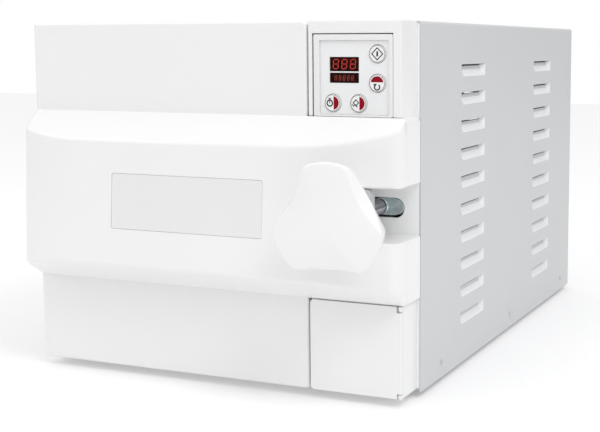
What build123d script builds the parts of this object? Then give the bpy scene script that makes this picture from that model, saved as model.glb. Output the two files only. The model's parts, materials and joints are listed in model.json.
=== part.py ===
from build123d import *
from math import asin, cos, degrees, radians, sin, sqrt
import os

# Benchtop steam autoclave, 21 litre class.  Millimetres.
# +X to the right, +Y to the back, +Z up.  The origin is on the bench, under the middle of the
# machine's outer box, which takes in the knob at the front right and the hose barb at the back.

# ---- driving dimensions -------------------------------------------------------------------------
FASCIA_W = 428.0
FASCIA_H = 365.0
MIDDLE = -4.763                   # middle of the casing: only the knob reaches past it, on the right
LEFT = MIDDLE - FASCIA_W / 2      # left end of the fascia
FRONT = -279.5                    # front face of the door and of the column
SILL = 9.0                        # bottom of the fascia, above the bench
TOP = SILL + FASCIA_H
PLATE_Y = FRONT + 41.0            # front face of the chassis front plate
CASE_HALF = FASCIA_W / 2 + 3.7    # half of the casing's outside width
CASE_LEFT = MIDDLE - CASE_HALF
CASE_RIGHT = MIDDLE + CASE_HALF
CASE_LOW = 5.9
CASE_FRONT = FRONT + 40.7
CASE_BACK = 344.1
CASE_DEPTH = CASE_BACK - CASE_FRONT
SHEET = 1.5
WALL = 2.5                        # moulded covers
GAP = 0.2                         # clearance between pieces that are fitted together

# ---- chamber ------------------------------------------------------------------------------------
CHAMBER_X = LEFT + 165.0
CHAMBER_Z = SILL + 183.0
CHAMBER_R = 125.0
CHAMBER_WALL = 3.0
CHAMBER_END = 190.0               # where the tube meets the dished end
DISH_DEPTH = 36.0
FLANGE_R = 146.0
FLANGE_FACE = FRONT + 38.5
INSULATION_R = 150.0

# ---- door ---------------------------------------------------------------------------------------
DOOR_RIGHT = LEFT + 326.8
DOOR_BACK = FRONT + 36.0
HINGE_X = LEFT + 8.0
HINGE_Y = FRONT + 29.0
KNUCKLE_R = 4.5
HINGE_PIN_R = 2.5
HINGE_HEIGHTS = (SILL + 60.0, SILL + 306.0)
HINGE_TALL = 40.0
BAND_LOW = SILL + 93.0
BAND_HIGH = SILL + 273.0
BAND_RIGHT = LEFT + 431.6
BAND_PROUD_LOW = 37.5             # how far the band stands forward at its lower edge
BAND_PROUD_HIGH = 24.6
BAND_UPPER_SLOPE = 1.045          # fall of the band's upper face for each millimetre forward
BAND_LOWER_SLOPE = 0.63
BAND_CORNER = 12.0
BAND_OVERLAP_BACK = FRONT + 3.5   # back edge of the band where it covers the column

# ---- latch --------------------------------------------------------------------------------------
LATCH_X = LEFT + 386.0
LATCH_Z = SILL + 181.5
SPINDLE_R = 8.0
HUB_R = 24.0
KNOB_R = 56.0
KNOB_BACK = FRONT - 54.0
KNOB_FRONT = FRONT - 84.0
NOTCH_LOW = SILL + 155.7
NOTCH_HIGH = SILL + 207.5
CROSSBAR_FRONT = FRONT - 20.0
CROSSBAR_BACK = FRONT - 12.0
DOG_FRONT = FRONT + 46.0
DOG_THICK = 10.0
DOG_R = 8.5
DOG_REACH = 16.5                  # from the spindle's axis to the middle of the dog's nose

# ---- column and controls ------------------------------------------------------------------------
COLUMN_LEFT = LEFT + 329.7
COLUMN_RIGHT = LEFT + FASCIA_W
COLUMN_STEP = FRONT + 4.5         # face of the column behind the door's band
COLUMN_BACK = CASE_FRONT - 0.1
BEZEL_LEFT = LEFT + 335.0
BEZEL_RIGHT = LEFT + 418.2
BEZEL_LOW = SILL + 274.0
BEZEL_HIGH = SILL + 352.0
PANEL_LEFT = LEFT + 341.7
PANEL_RIGHT = LEFT + 414.9
PANEL_LOW = SILL + 275.2
PANEL_HIGH = SILL + 346.1
PANEL_FACE = FRONT + 2.0
KEY_R = 8.5
KEY_TRAVEL = 0.8
KEYS = {
    "start_button": (LEFT + 402.7, SILL + 333.4),
    "cycle_button": (LEFT + 402.5, SILL + 305.7),
    "time_button": (LEFT + 355.6, SILL + 286.2),
    "program_button": (LEFT + 382.9, SILL + 286.1),
}
DISPLAYS = {
    "upper": (LEFT + 367.7, SILL + 323.5, 30.5, 13.4),
    "lower": (LEFT + 367.7, SILL + 310.4, 30.5, 9.4),
}
COVER_TOP = SILL + 92.0
COVER_AXIS_X = COLUMN_RIGHT - 2.0
COVER_AXIS_Y = FRONT + 2.0

# ---- louvres ------------------------------------------------------------------------------------
LOUVRE_ROWS = 10
LOUVRE_PITCH = 29.9
LOUVRE_TOP = SILL + 321.5
LOUVRE_LONG = 79.0
LOUVRE_TALL = 13.0
LOUVRE_DEEP = 6.0
LOUVRE_COLUMNS = (FRONT + 197.0, FRONT + 472.0)
CASING_SCREWS = (-180.0, 60.0, 300.0)
CASING_SCREW_Z = 22.0

PARTS = "parts"
os.makedirs(PARTS, exist_ok=True)


def facing(y):
    """A plane across the machine at depth y: local x is +X, local y is +Z, extrusion goes forward."""
    return Plane(origin=(0, y, 0), x_dir=(1, 0, 0), z_dir=(0, -1, 0))


def sideways(x):
    """A plane along the machine: local x is +Y, local y is +Z, extrusion goes to the right."""
    return Plane(origin=(x, 0, 0), x_dir=(0, 1, 0), z_dir=(1, 0, 0))


def block(x0, x1, y0, y1, z0, z1):
    """A private box between two corners."""
    centre = Pos((x0 + x1) / 2, (y0 + y1) / 2, (z0 + z1) / 2)
    return centre * Box(x1 - x0, y1 - y0, z1 - z0, mode=Mode.PRIVATE)


def bar_y(x, z, radius, y0, y1):
    """A private round bar along Y."""
    return Pos(x, (y0 + y1) / 2, z) * Rot(90, 0, 0) * Cylinder(radius, y1 - y0, mode=Mode.PRIVATE)


def bar_x(y, z, radius, x0, x1):
    """A private round bar along X."""
    return Pos((x0 + x1) / 2, y, z) * Rot(0, 90, 0) * Cylinder(radius, abs(x1 - x0), mode=Mode.PRIVATE)


def bar_z(x, y, radius, z0, z1):
    """A private round bar along Z."""
    return Pos(x, y, (z0 + z1) / 2) * Cylinder(radius, z1 - z0, mode=Mode.PRIVATE)


def save(built, name):
    """Label a finished piece and write its file."""
    built.part.label = name
    export_step(built.part, f"{PARTS}/{name}.step")


def band_outline(proud, inset, bend_left, bend_right, back):
    """Plan of the door's band: flat in the middle, bowed back at both ends, round at the right."""
    left = LEFT + inset
    right = BAND_RIGHT - inset
    corner = BAND_CORNER - inset
    face = FRONT - proud + inset
    straight_left = LEFT + 75.0
    straight_right = LEFT + 320.0
    left_turn = degrees(asin((straight_left - left) / bend_left))
    right_turn = degrees(asin((right - straight_right - corner) / (bend_right - corner)))
    with BuildLine() as outline:
        flat = Line((straight_left, face), (straight_right, face))
        bow = JernArc(flat @ 1, (1, 0), bend_right, right_turn)
        turn = JernArc(bow @ 1, bow % 1, corner, 90 - right_turn)
        end = Line(turn @ 1, (right, back))
        rear = Line(end @ 1, (left, back))
        left_bow = JernArc(flat @ 0, (-1, 0), bend_left, -left_turn)
        Line(left_bow @ 1, rear @ 1)
    return make_face(outline.edges())


def band_solid(inset, back):
    """The band between its sloping upper and lower faces, shrunk by inset on every outer side."""
    low = Plane.XY.offset(BAND_LOW) * band_outline(BAND_PROUD_LOW, inset, 250.0, 350.0, back)
    high = Plane.XY.offset(BAND_HIGH) * band_outline(BAND_PROUD_HIGH, inset, 400.0, 460.0, back)
    solid = loft([low.face(), high.face()])
    upper_drop = inset * sqrt(1 + BAND_UPPER_SLOPE**2)
    lower_rise = inset * sqrt(1 + BAND_LOWER_SLOPE**2)
    upper = Plane((0, FRONT, BAND_HIGH - upper_drop), x_dir=(1, 0, 0), z_dir=(0, -BAND_UPPER_SLOPE, 1))
    lower = Plane((0, FRONT, BAND_LOW + lower_rise), x_dir=(1, 0, 0), z_dir=(0, BAND_LOWER_SLOPE, 1))
    solid = split(solid, bisect_by=upper, keep=Keep.BOTTOM)
    return split(solid, bisect_by=lower, keep=Keep.TOP)


# ---- casing and chassis -------------------------------------------------------------------------
with BuildPart() as outer_casing:
    with BuildSketch(facing(CASE_BACK)) as case_section:
        with Locations((MIDDLE, (TOP + CASE_LOW) / 2)):
            Rectangle(2 * CASE_HALF, TOP - CASE_LOW)
        fillet(case_section.vertices().group_by(Axis.Y)[-1], 3.0)
    extrude(amount=CASE_DEPTH)
    with BuildSketch(facing(CASE_BACK)) as case_hollow:
        with Locations((MIDDLE, (TOP - SHEET + CASE_LOW) / 2)):
            Rectangle(2 * (CASE_HALF - SHEET), TOP - SHEET - CASE_LOW)
        fillet(case_hollow.vertices().group_by(Axis.Y)[-1], 1.5)
    extrude(amount=CASE_DEPTH, mode=Mode.SUBTRACT)
    louvre_spots = [
        (y, LOUVRE_TOP - LOUVRE_TALL / 2 - row * LOUVRE_PITCH)
        for y in LOUVRE_COLUMNS
        for row in range(LOUVRE_ROWS)
    ]
    with BuildSketch(sideways(CASE_LEFT - 1)) as louvre_windows:
        with Locations(*louvre_spots):
            Rectangle(LOUVRE_LONG, LOUVRE_TALL)
    extrude(amount=2 * CASE_HALF + 2, mode=Mode.SUBTRACT)
    for side, wall in ((-1, CASE_LEFT), (1, CASE_RIGHT)):
        for column_y in LOUVRE_COLUMNS:
            with BuildSketch(facing(column_y + LOUVRE_LONG / 2)) as flap_section:
                for row in range(LOUVRE_ROWS):
                    low = LOUVRE_TOP - LOUVRE_TALL - row * LOUVRE_PITCH
                    with BuildLine():
                        Polyline(
                            (wall, low),
                            (wall - side * LOUVRE_DEEP, low + LOUVRE_TALL - 1),
                            (wall - side * (LOUVRE_DEEP + 1.2), low + LOUVRE_TALL - 1),
                            (wall - side * SHEET, low),
                            close=True,
                        )
                    make_face()
            extrude(amount=LOUVRE_LONG)
    for y in CASING_SCREWS:
        add(bar_x(y, CASING_SCREW_Z, 3.55, CASE_LEFT - 1, CASE_RIGHT + 1), mode=Mode.SUBTRACT)
save(outer_casing, "outer_casing")

PAN_HALF = CASE_HALF - SHEET - GAP
PAN_LEFT = MIDDLE - PAN_HALF
PAN_RIGHT = MIDDLE + PAN_HALF
PAN_LOW = 8.0
PAN_FRONT = PLATE_Y + 2.2
PAN_BACK = 341.3
with BuildPart() as base_pan:
    add(block(PAN_LEFT, PAN_RIGHT, PAN_FRONT, PAN_BACK, PAN_LOW, PAN_LOW + 26))
    inside = (PAN_LEFT + SHEET, PAN_RIGHT - SHEET, PAN_FRONT - 1, PAN_BACK + 1)
    add(block(*inside, PAN_LOW + SHEET, PAN_LOW + 30), mode=Mode.SUBTRACT)
    with BuildSketch(Plane.XY.offset(PAN_LOW)):
        with Locations((150, 60)):
            with GridLocations(14, 60, 6, 4):
                SlotOverall(40, 5, rotation=90)
    extrude(amount=SHEET, mode=Mode.SUBTRACT)
    for y in CASING_SCREWS:
        add(bar_x(y, CASING_SCREW_Z, 2.05, CASE_LEFT, CASE_RIGHT), mode=Mode.SUBTRACT)
save(base_pan, "base_pan")
PAN_FLOOR = PAN_LOW + SHEET

FOOT_SPOTS = [(MIDDLE + x, y) for x in (-185, 185) for y in (-205, 300)]
with BuildPart() as feet:
    with BuildSketch(Plane.XY):
        with Locations(*FOOT_SPOTS):
            Circle(14)
    extrude(amount=PAN_LOW, taper=8)
save(feet, "feet")

INLET_X = 150.0
INLET_Z = 60.0
BARB_X = -150.0
BARB_Z = 52.0
REAR_Y = 343.0
with BuildPart() as rear_panel:
    with BuildSketch(facing(REAR_Y)) as rear_outline:
        with Locations((MIDDLE, (PAN_LOW + TOP) / 2)):
            Rectangle(2 * PAN_HALF, TOP - PAN_LOW - 2 * (SHEET + GAP))
        fillet(rear_outline.vertices(), 2)
        with Locations((INLET_X, INLET_Z)):
            Rectangle(28.4, 20.4, mode=Mode.SUBTRACT)
        with Locations((BARB_X, BARB_Z)):
            Circle(8.2, mode=Mode.SUBTRACT)
        with Locations((0, 250)):
            with GridLocations(60, 12, 5, 8):
                SlotOverall(44, 5, mode=Mode.SUBTRACT)
    extrude(amount=SHEET)
save(rear_panel, "rear_panel")

SLOT_LEFT = LEFT + 374.0
SLOT_RIGHT = LEFT + 414.0
SLOT_R = 10.0
with BuildPart() as front_plate:
    with BuildSketch(facing(PLATE_Y + 2)) as plate_outline:
        with Locations((MIDDLE, (PAN_LOW + TOP) / 2)):
            Rectangle(2 * PAN_HALF, TOP - PAN_LOW - 2 * (SHEET + GAP))
        fillet(plate_outline.vertices(), 2)
        with Locations((CHAMBER_X, CHAMBER_Z)):
            Circle(CHAMBER_R + CHAMBER_WALL + GAP, mode=Mode.SUBTRACT)
        with Locations(((SLOT_LEFT + SLOT_RIGHT) / 2, LATCH_Z)):
            SlotOverall(SLOT_RIGHT - SLOT_LEFT, 2 * SLOT_R, mode=Mode.SUBTRACT)
        with Locations((COLUMN_LEFT + 30, SILL + 40)):
            Rectangle(19.4, 28.4, mode=Mode.SUBTRACT)
        with Locations((COLUMN_LEFT + 78, SILL + 64), (COLUMN_LEFT + 78, SILL + 26)):
            Circle(6.2, mode=Mode.SUBTRACT)
        with Locations((COLUMN_LEFT + 54, SILL + 20)):
            Circle(5.2, mode=Mode.SUBTRACT)
        with Locations((COLUMN_LEFT + 20, SILL + 240)):
            SlotOverall(30, 12, rotation=90, mode=Mode.SUBTRACT)
    extrude(amount=2)
save(front_plate, "front_plate")

REAR_SCREWS = [(MIDDLE + x, z) for x in (-195, 0, 195) for z in (24, 360)]
with BuildPart() as casing_screws:
    for side, wall in ((-1, CASE_LEFT), (1, CASE_RIGHT)):
        for y in CASING_SCREWS:
            add(bar_x(y, CASING_SCREW_Z, 3.5, wall, wall - side * SHEET))
            add(bar_x(y, CASING_SCREW_Z, 2, wall - side * SHEET, wall - side * 9))
    for x, z in REAR_SCREWS:
        add(bar_y(x, z, 3.5, REAR_Y, REAR_Y + 1.1))
save(casing_screws, "casing_screws")

# ---- chamber ------------------------------------------------------------------------------------
CHAMBER_AXIS = Axis((CHAMBER_X, 0, CHAMBER_Z), (0, 1, 0))
DISH_R = (CHAMBER_R**2 + DISH_DEPTH**2) / (2 * DISH_DEPTH)
DISH_CENTRE = CHAMBER_END + DISH_DEPTH - DISH_R
with BuildPart() as chamber:
    outer = CHAMBER_R + CHAMBER_WALL
    add(bar_y(CHAMBER_X, CHAMBER_Z, outer, FLANGE_FACE, CHAMBER_END + DISH_DEPTH + 10))
    dish = Pos(CHAMBER_X, DISH_CENTRE, CHAMBER_Z) * Sphere(DISH_R + CHAMBER_WALL, mode=Mode.PRIVATE)
    tube = block(-400, 400, FLANGE_FACE - 1, CHAMBER_END - 20, 0, 400)
    add(dish + tube, mode=Mode.INTERSECT)
    add(bar_y(CHAMBER_X, CHAMBER_Z, FLANGE_R, FLANGE_FACE, PLATE_Y))
    hollow = bar_y(CHAMBER_X, CHAMBER_Z, CHAMBER_R, FLANGE_FACE - 1, CHAMBER_END + DISH_DEPTH)
    hollow_end = Pos(CHAMBER_X, DISH_CENTRE, CHAMBER_Z) * Sphere(DISH_R, mode=Mode.PRIVATE)
    add(hollow & (hollow_end + tube), mode=Mode.SUBTRACT)
save(chamber, "chamber")

with BuildPart() as heating_band:
    add(bar_y(CHAMBER_X, CHAMBER_Z, 131.0, -190, 170))
    add(bar_y(CHAMBER_X, CHAMBER_Z, 128.1, -191, 171), mode=Mode.SUBTRACT)
    add(block(-250, 250, -200, 200, CHAMBER_Z - 70, 400), mode=Mode.SUBTRACT)
save(heating_band, "heating_band")

with BuildPart() as insulation_blanket:
    add(bar_y(CHAMBER_X, CHAMBER_Z, INSULATION_R, PLATE_Y + 4, CHAMBER_END))
    add(bar_y(CHAMBER_X, CHAMBER_Z, 131.3, PLATE_Y, CHAMBER_END + 5), mode=Mode.SUBTRACT)
save(insulation_blanket, "insulation_blanket")

with BuildPart() as chamber_supports:
    for y in (-150, 110):
        add(block(CHAMBER_X - 110, CHAMBER_X + 110, y, y + 3, PAN_FLOOR, CHAMBER_Z - 90))
        add(block(CHAMBER_X - 110, CHAMBER_X + 110, y + 3, y + 25, PAN_FLOOR, PAN_FLOOR + 2))
    add(bar_y(CHAMBER_X, CHAMBER_Z, INSULATION_R + GAP, -200, 180), mode=Mode.SUBTRACT)
save(chamber_supports, "chamber_supports")

# ---- tray rack and trays ------------------------------------------------------------------------
RACK_X = 93.0
RACK_FRONT = FRONT + 60.0
RACK_BACK = CHAMBER_END - 15.0
TRAY_LEVELS = (CHAMBER_Z - 62.0, CHAMBER_Z - 14.0, CHAMBER_Z + 34.0)
RACK_LOW = CHAMBER_Z - 80.0
RUNNER_REACH = 9.0
with BuildPart() as rack_sides:
    for side in (-1, 1):
        x_out = CHAMBER_X + side * RACK_X
        x_in = x_out - side * SHEET
        add(block(min(x_out, x_in), max(x_out, x_in), RACK_FRONT, RACK_BACK, RACK_LOW, CHAMBER_Z + 66))
    with BuildSketch(sideways(CHAMBER_X - RACK_X - 1)):
        with Locations(((RACK_FRONT + RACK_BACK) / 2, CHAMBER_Z - 38), ((RACK_FRONT + RACK_BACK) / 2, CHAMBER_Z + 10)):
            with GridLocations(90, 10, 4, 1):
                SlotOverall(70, 22)
    extrude(amount=2 * RACK_X + 2, mode=Mode.SUBTRACT)

with BuildPart() as rack_runners:
    for side in (-1, 1):
        x_out = CHAMBER_X + side * (RACK_X - SHEET)
        x_in = x_out - side * RUNNER_REACH
        for level in TRAY_LEVELS:
            add(block(min(x_out, x_in), max(x_out, x_in), RACK_FRONT, RACK_BACK, level - SHEET, level))

with BuildPart() as rack_straps:
    for y in (RACK_FRONT + 6, RACK_BACK - 14):
        add(block(CHAMBER_X - RACK_X, CHAMBER_X + RACK_X, y, y + 8, RACK_LOW - SHEET, RACK_LOW))

tray_rack = Compound([*rack_sides.solids(), *rack_runners.solids(), *rack_straps.solids()])
tray_rack.label = "tray_rack"
export_step(tray_rack, f"{PARTS}/tray_rack.step")

TRAY_X = RACK_X - SHEET - 1.0
with BuildPart() as trays:
    for level in TRAY_LEVELS:
        low = level + GAP
        add(block(CHAMBER_X - TRAY_X, CHAMBER_X + TRAY_X, RACK_FRONT - 8, RACK_BACK - 6, low, low + 16))
        add(
            block(
                CHAMBER_X - TRAY_X + 1.2,
                CHAMBER_X + TRAY_X - 1.2,
                RACK_FRONT - 6.8,
                RACK_BACK - 7.2,
                low + 1.2,
                low + 20,
            ),
            mode=Mode.SUBTRACT,
        )
    with BuildSketch(Plane.XY.offset(TRAY_LEVELS[0] - 5)):
        with Locations((CHAMBER_X, (RACK_FRONT + RACK_BACK) / 2)):
            with GridLocations(24, 26, 7, 13):
                Circle(3.5)
    extrude(amount=120, mode=Mode.SUBTRACT)
save(trays, "trays")

# ---- steam and drain plumbing -------------------------------------------------------------------
PORT_Z = CHAMBER_Z + 60.0
VALVE_Y = 270.0
with BuildPart() as safety_valve:
    add(bar_z(CHAMBER_X, VALVE_Y, 11, PORT_Z + 30, PORT_Z + 42))
    add(bar_z(CHAMBER_X, VALVE_Y, 8, PORT_Z + 42, PORT_Z + 66))
    add(bar_z(CHAMBER_X, VALVE_Y, 13, PORT_Z + 66, PORT_Z + 72))
    add(bar_y(CHAMBER_X, PORT_Z + 54, 5, VALVE_Y + 6, VALVE_Y + 26))
save(safety_valve, "safety_valve")

with BuildPart() as pressure_sensor:
    add(bar_y(CHAMBER_X + 55, CHAMBER_Z + 25, 9, CHAMBER_END + 34, CHAMBER_END + 52))
    add(bar_y(CHAMBER_X + 55, CHAMBER_Z + 25, 12, CHAMBER_END + 52, CHAMBER_END + 84))
save(pressure_sensor, "pressure_sensor")

with BuildPart() as temperature_probe:
    add(bar_y(CHAMBER_X - 55, CHAMBER_Z + 25, 7, CHAMBER_END + 34, CHAMBER_END + 48))
    add(bar_y(CHAMBER_X - 55, CHAMBER_Z + 25, 3, CHAMBER_END + 48, CHAMBER_END + 80))
save(temperature_probe, "temperature_probe")

SOLENOID_Y = 285.0
with BuildPart() as solenoid_valve:
    add(block(BARB_X - 18, BARB_X + 18, SOLENOID_Y - 14, SOLENOID_Y + 14, BARB_Z - 14, BARB_Z + 14))
    add(bar_z(BARB_X, SOLENOID_Y, 9, BARB_Z + 14, BARB_Z + 22))
    add(block(BARB_X - 16, BARB_X + 16, SOLENOID_Y - 20, SOLENOID_Y + 20, BARB_Z + 22, BARB_Z + 60))
save(solenoid_valve, "solenoid_valve")

with BuildPart() as steam_pipes:
    with BuildLine() as pressure_route:
        FilletPolyline(
            (CHAMBER_X, CHAMBER_END + 40, PORT_Z - 30),
            (CHAMBER_X, VALVE_Y, PORT_Z - 30),
            (CHAMBER_X, VALVE_Y, PORT_Z + 30),
            radius=14,
        )
    with BuildSketch(Plane(origin=pressure_route.line @ 0, z_dir=pressure_route.line % 0)):
        Circle(5)
    sweep(path=pressure_route.line)
    with BuildLine() as drain_route:
        FilletPolyline(
            (CHAMBER_X, CHAMBER_END + 40, CHAMBER_Z - 40),
            (CHAMBER_X, SOLENOID_Y - 26, CHAMBER_Z - 40),
            (CHAMBER_X, SOLENOID_Y - 26, BARB_Z),
            (BARB_X + 30, SOLENOID_Y - 26, BARB_Z),
            (BARB_X + 30, SOLENOID_Y, BARB_Z),
            (BARB_X + 18, SOLENOID_Y, BARB_Z),
            radius=5.5,
        )
    with BuildSketch(Plane(origin=drain_route.line @ 0, z_dir=drain_route.line % 0)):
        Circle(4)
    sweep(path=drain_route.line)
save(steam_pipes, "steam_pipes")

BARB_TIP = -KNOB_FRONT            # the machine reaches as far back as its knob reaches forward
SPIGOT_R = 6.0
with BuildPart() as drain_nozzle:
    add(bar_y(BARB_X, BARB_Z, 8, SOLENOID_Y + 14, REAR_Y))
    add(bar_y(BARB_X, BARB_Z, 12, REAR_Y, REAR_Y + 4))
    add(bar_y(BARB_X, BARB_Z, SPIGOT_R, REAR_Y + 4, BARB_TIP))
    chamfer(drain_nozzle.edges().group_by(Axis.Y)[-1], 0.8)
    add(bar_y(BARB_X, BARB_Z, 3, REAR_Y - 20, BARB_TIP + 1), mode=Mode.SUBTRACT)
save(drain_nozzle, "drain_nozzle")

# ---- electrics ----------------------------------------------------------------------------------
with BuildPart() as power_inlet:
    add(block(INLET_X - 25, INLET_X + 25, REAR_Y, REAR_Y + 3, INLET_Z - 13, INLET_Z + 13))
    add(block(INLET_X - 14, INLET_X + 14, REAR_Y - 26, REAR_Y, INLET_Z - 10, INLET_Z + 10))
    add(
        block(INLET_X - 12, INLET_X + 12, REAR_Y - 14, REAR_Y + 4, INLET_Z - 8, INLET_Z + 8),
        mode=Mode.SUBTRACT,
    )
save(power_inlet, "power_inlet")

with BuildPart() as inlet_pins:
    for x, z in ((-7, -2), (7, -2), (0, 2)):
        cx = INLET_X + x
        cz = INLET_Z + z
        add(block(cx - 1, cx + 1, REAR_Y - 14, REAR_Y - 2, cz - 2, cz + 2))
save(inlet_pins, "inlet_pins")

with BuildPart() as transformer:
    add(block(130, 190, 180, 250, PAN_FLOOR, PAN_FLOOR + 3))
    add(block(136, 184, 192, 238, PAN_FLOOR + 3, PAN_FLOOR + 60))
    add(block(142, 178, 184, 246, PAN_FLOOR + 12, PAN_FLOOR + 50))
save(transformer, "transformer")

BRACKET_X = 125.0
with BuildPart() as board_bracket:
    add(block(BRACKET_X, BRACKET_X + 2, -110, 130, PAN_FLOOR, 300))
    add(block(BRACKET_X + 2, BRACKET_X + 20, -110, 130, PAN_FLOOR, PAN_FLOOR + 2))
save(board_bracket, "board_bracket")

with BuildPart() as power_board:
    add(block(BRACKET_X + 8, BRACKET_X + 9.6, -95, 115, 120, 280))
    for y in (-60, -20, 60):
        add(block(BRACKET_X + 9.6, BRACKET_X + 34, y - 14, y + 14, 190, 230))
    for y in (-70, 90):
        for z in (130, 270):
            spot = Pos(BRACKET_X + 5, y, z) * Rot(0, 90, 0)
            add(spot * Cylinder(3, 6, mode=Mode.PRIVATE))
save(power_board, "power_board")

with BuildPart() as heater_relay:
    add(block(BRACKET_X + 2, BRACKET_X + 32, -60, -15, 50, 100))
save(heater_relay, "heater_relay")

with BuildPart() as terminal_block:
    add(block(BRACKET_X + 2, BRACKET_X + 22, 10, 90, 55, 75))
    with BuildSketch(sideways(BRACKET_X + 22)):
        with Locations((50, 65)):
            with GridLocations(10, 10, 8, 1):
                Circle(3)
    extrude(amount=-6, mode=Mode.SUBTRACT)
save(terminal_block, "terminal_block")

HARNESS_X = BRACKET_X + 45.0
with BuildPart() as wiring_harness:
    with BuildLine() as harness_route:
        FilletPolyline(
            (COLUMN_LEFT + 20, PLATE_Y - 20, SILL + 240),
            (COLUMN_LEFT + 20, PLATE_Y + 30, SILL + 240),
            (HARNESS_X, PLATE_Y + 60, SILL + 220),
            (HARNESS_X, -40, SILL + 150),
            (HARNESS_X, 60, SILL + 100),
            radius=20,
        )
    with BuildSketch(Plane(origin=harness_route.line @ 0, z_dir=harness_route.line % 0)):
        Circle(4.5)
    sweep()
save(wiring_harness, "wiring_harness")

# ---- column -------------------------------------------------------------------------------------
SIDE_STRIP = BAND_RIGHT - COLUMN_RIGHT
with BuildPart() as side_column:
    add(block(COLUMN_LEFT, COLUMN_RIGHT, FRONT, COLUMN_BACK, SILL, TOP))
    with BuildSketch(facing(COLUMN_BACK)):
        with BuildLine():
            Polyline(
                (COLUMN_RIGHT - 1, BAND_LOW),
                (BAND_RIGHT, BAND_LOW),
                (BAND_RIGHT, BAND_HIGH - 5),
                (COLUMN_RIGHT, BAND_HIGH),
                (COLUMN_RIGHT - 1, BAND_HIGH),
                close=True,
            )
        make_face()
    extrude(amount=COLUMN_BACK - COLUMN_STEP)
    add(block(COLUMN_LEFT - 1, BAND_RIGHT + 1, FRONT - 1, COLUMN_STEP, BAND_LOW, BAND_HIGH), mode=Mode.SUBTRACT)
    x0 = COLUMN_LEFT + WALL
    x1 = COLUMN_RIGHT - WALL
    add(block(x0, x1, FRONT + WALL, PLATE_Y + 1, BAND_HIGH + WALL, TOP - WALL), mode=Mode.SUBTRACT)
    add(block(x0, x1, COLUMN_STEP + WALL, PLATE_Y + 1, NOTCH_HIGH + WALL, TOP - WALL), mode=Mode.SUBTRACT)
    add(block(x0, x1, COLUMN_STEP + WALL, PLATE_Y + 1, BAND_LOW + WALL, NOTCH_LOW - WALL), mode=Mode.SUBTRACT)
    add(
        block(COLUMN_LEFT + 22, BAND_RIGHT + 1, FRONT - 1, PLATE_Y + 1, NOTCH_LOW, NOTCH_HIGH),
        mode=Mode.SUBTRACT,
    )
    add(
        block(BEZEL_LEFT - 0.8, BEZEL_RIGHT + 0.8, FRONT - 1, FRONT + 8, BEZEL_LOW - 1, BEZEL_HIGH + 0.8),
        mode=Mode.SUBTRACT,
    )
    add(
        block(COLUMN_LEFT - 1, COLUMN_RIGHT + 1, FRONT - 1, FRONT + 3.2, SILL - 1, BAND_LOW),
        mode=Mode.SUBTRACT,
    )
    add(
        block(COLUMN_RIGHT - 6, COLUMN_RIGHT + 1, FRONT - 1, FRONT + 4.6, SILL - 1, BAND_LOW),
        mode=Mode.SUBTRACT,
    )
    add(
        block(COLUMN_LEFT + 3, COLUMN_RIGHT - 4, FRONT, PLATE_Y + 1, SILL + 4, BAND_LOW - 4),
        mode=Mode.SUBTRACT,
    )
    for z0 in (SILL, COVER_TOP - 5):
        ear = bar_z(COVER_AXIS_X, COVER_AXIS_Y, 2, z0, z0 + 5)
        web = block(COVER_AXIS_X - 1, COVER_AXIS_X + 2, COVER_AXIS_Y, COVER_AXIS_Y + 4, z0, z0 + 5)
        add(ear + web)
        add(bar_z(COVER_AXIS_X, COVER_AXIS_Y, 0.9, z0 - 0.5, z0 + 5.5), mode=Mode.SUBTRACT)
save(side_column, "side_column")

with BuildPart() as service_cover:
    low = SILL + 0.3
    high = COVER_TOP - 0.2
    add(block(COLUMN_LEFT, COVER_AXIS_X, FRONT, FRONT + WALL, low, high))
    fillet(service_cover.edges().filter_by(Axis.Y).group_by(Axis.X)[0], 4.0)
    add(bar_z(COVER_AXIS_X, COVER_AXIS_Y, 2, low, high))
    for z0 in (SILL - 0.3, COVER_TOP - 5.3):
        add(
            block(COVER_AXIS_X - 3.0, COVER_AXIS_X + 3, FRONT - 1, FRONT + 6, z0 - 1, z0 + 5.6),
            mode=Mode.SUBTRACT,
        )
    add(bar_z(COVER_AXIS_X, COVER_AXIS_Y, 0.9, SILL, COVER_TOP), mode=Mode.SUBTRACT)
save(service_cover, "service_cover")

with BuildPart() as service_cover_pins:
    for z0 in (SILL + 0.4, COVER_TOP - 10.4):
        add(bar_z(COVER_AXIS_X, COVER_AXIS_Y, 0.86, z0, z0 + 10))
save(service_cover_pins, "service_cover_pins")

# ---- behind the service cover -------------------------------------------------------------------
SWITCH_X = COLUMN_LEFT + 30.0
SWITCH_Z = SILL + 40.0
ROCKER_Y = PLATE_Y + 2.5          # pivot of the rocker
with BuildPart() as power_switch_housing:
    add(block(SWITCH_X - 12, SWITCH_X + 12, PLATE_Y - 3, PLATE_Y, SWITCH_Z - 17, SWITCH_Z + 17))
    add(block(SWITCH_X - 9.5, SWITCH_X + 9.5, PLATE_Y, PLATE_Y + 24, SWITCH_Z - 14, SWITCH_Z + 14))
    add(
        block(SWITCH_X - 8, SWITCH_X + 8, PLATE_Y - 4, PLATE_Y + 10, SWITCH_Z - 12.5, SWITCH_Z + 12.5),
        mode=Mode.SUBTRACT,
    )
    add(bar_x(ROCKER_Y, SWITCH_Z, 1.55, SWITCH_X - 9.1, SWITCH_X + 9.1), mode=Mode.SUBTRACT)
save(power_switch_housing, "power_switch_housing")

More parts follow.
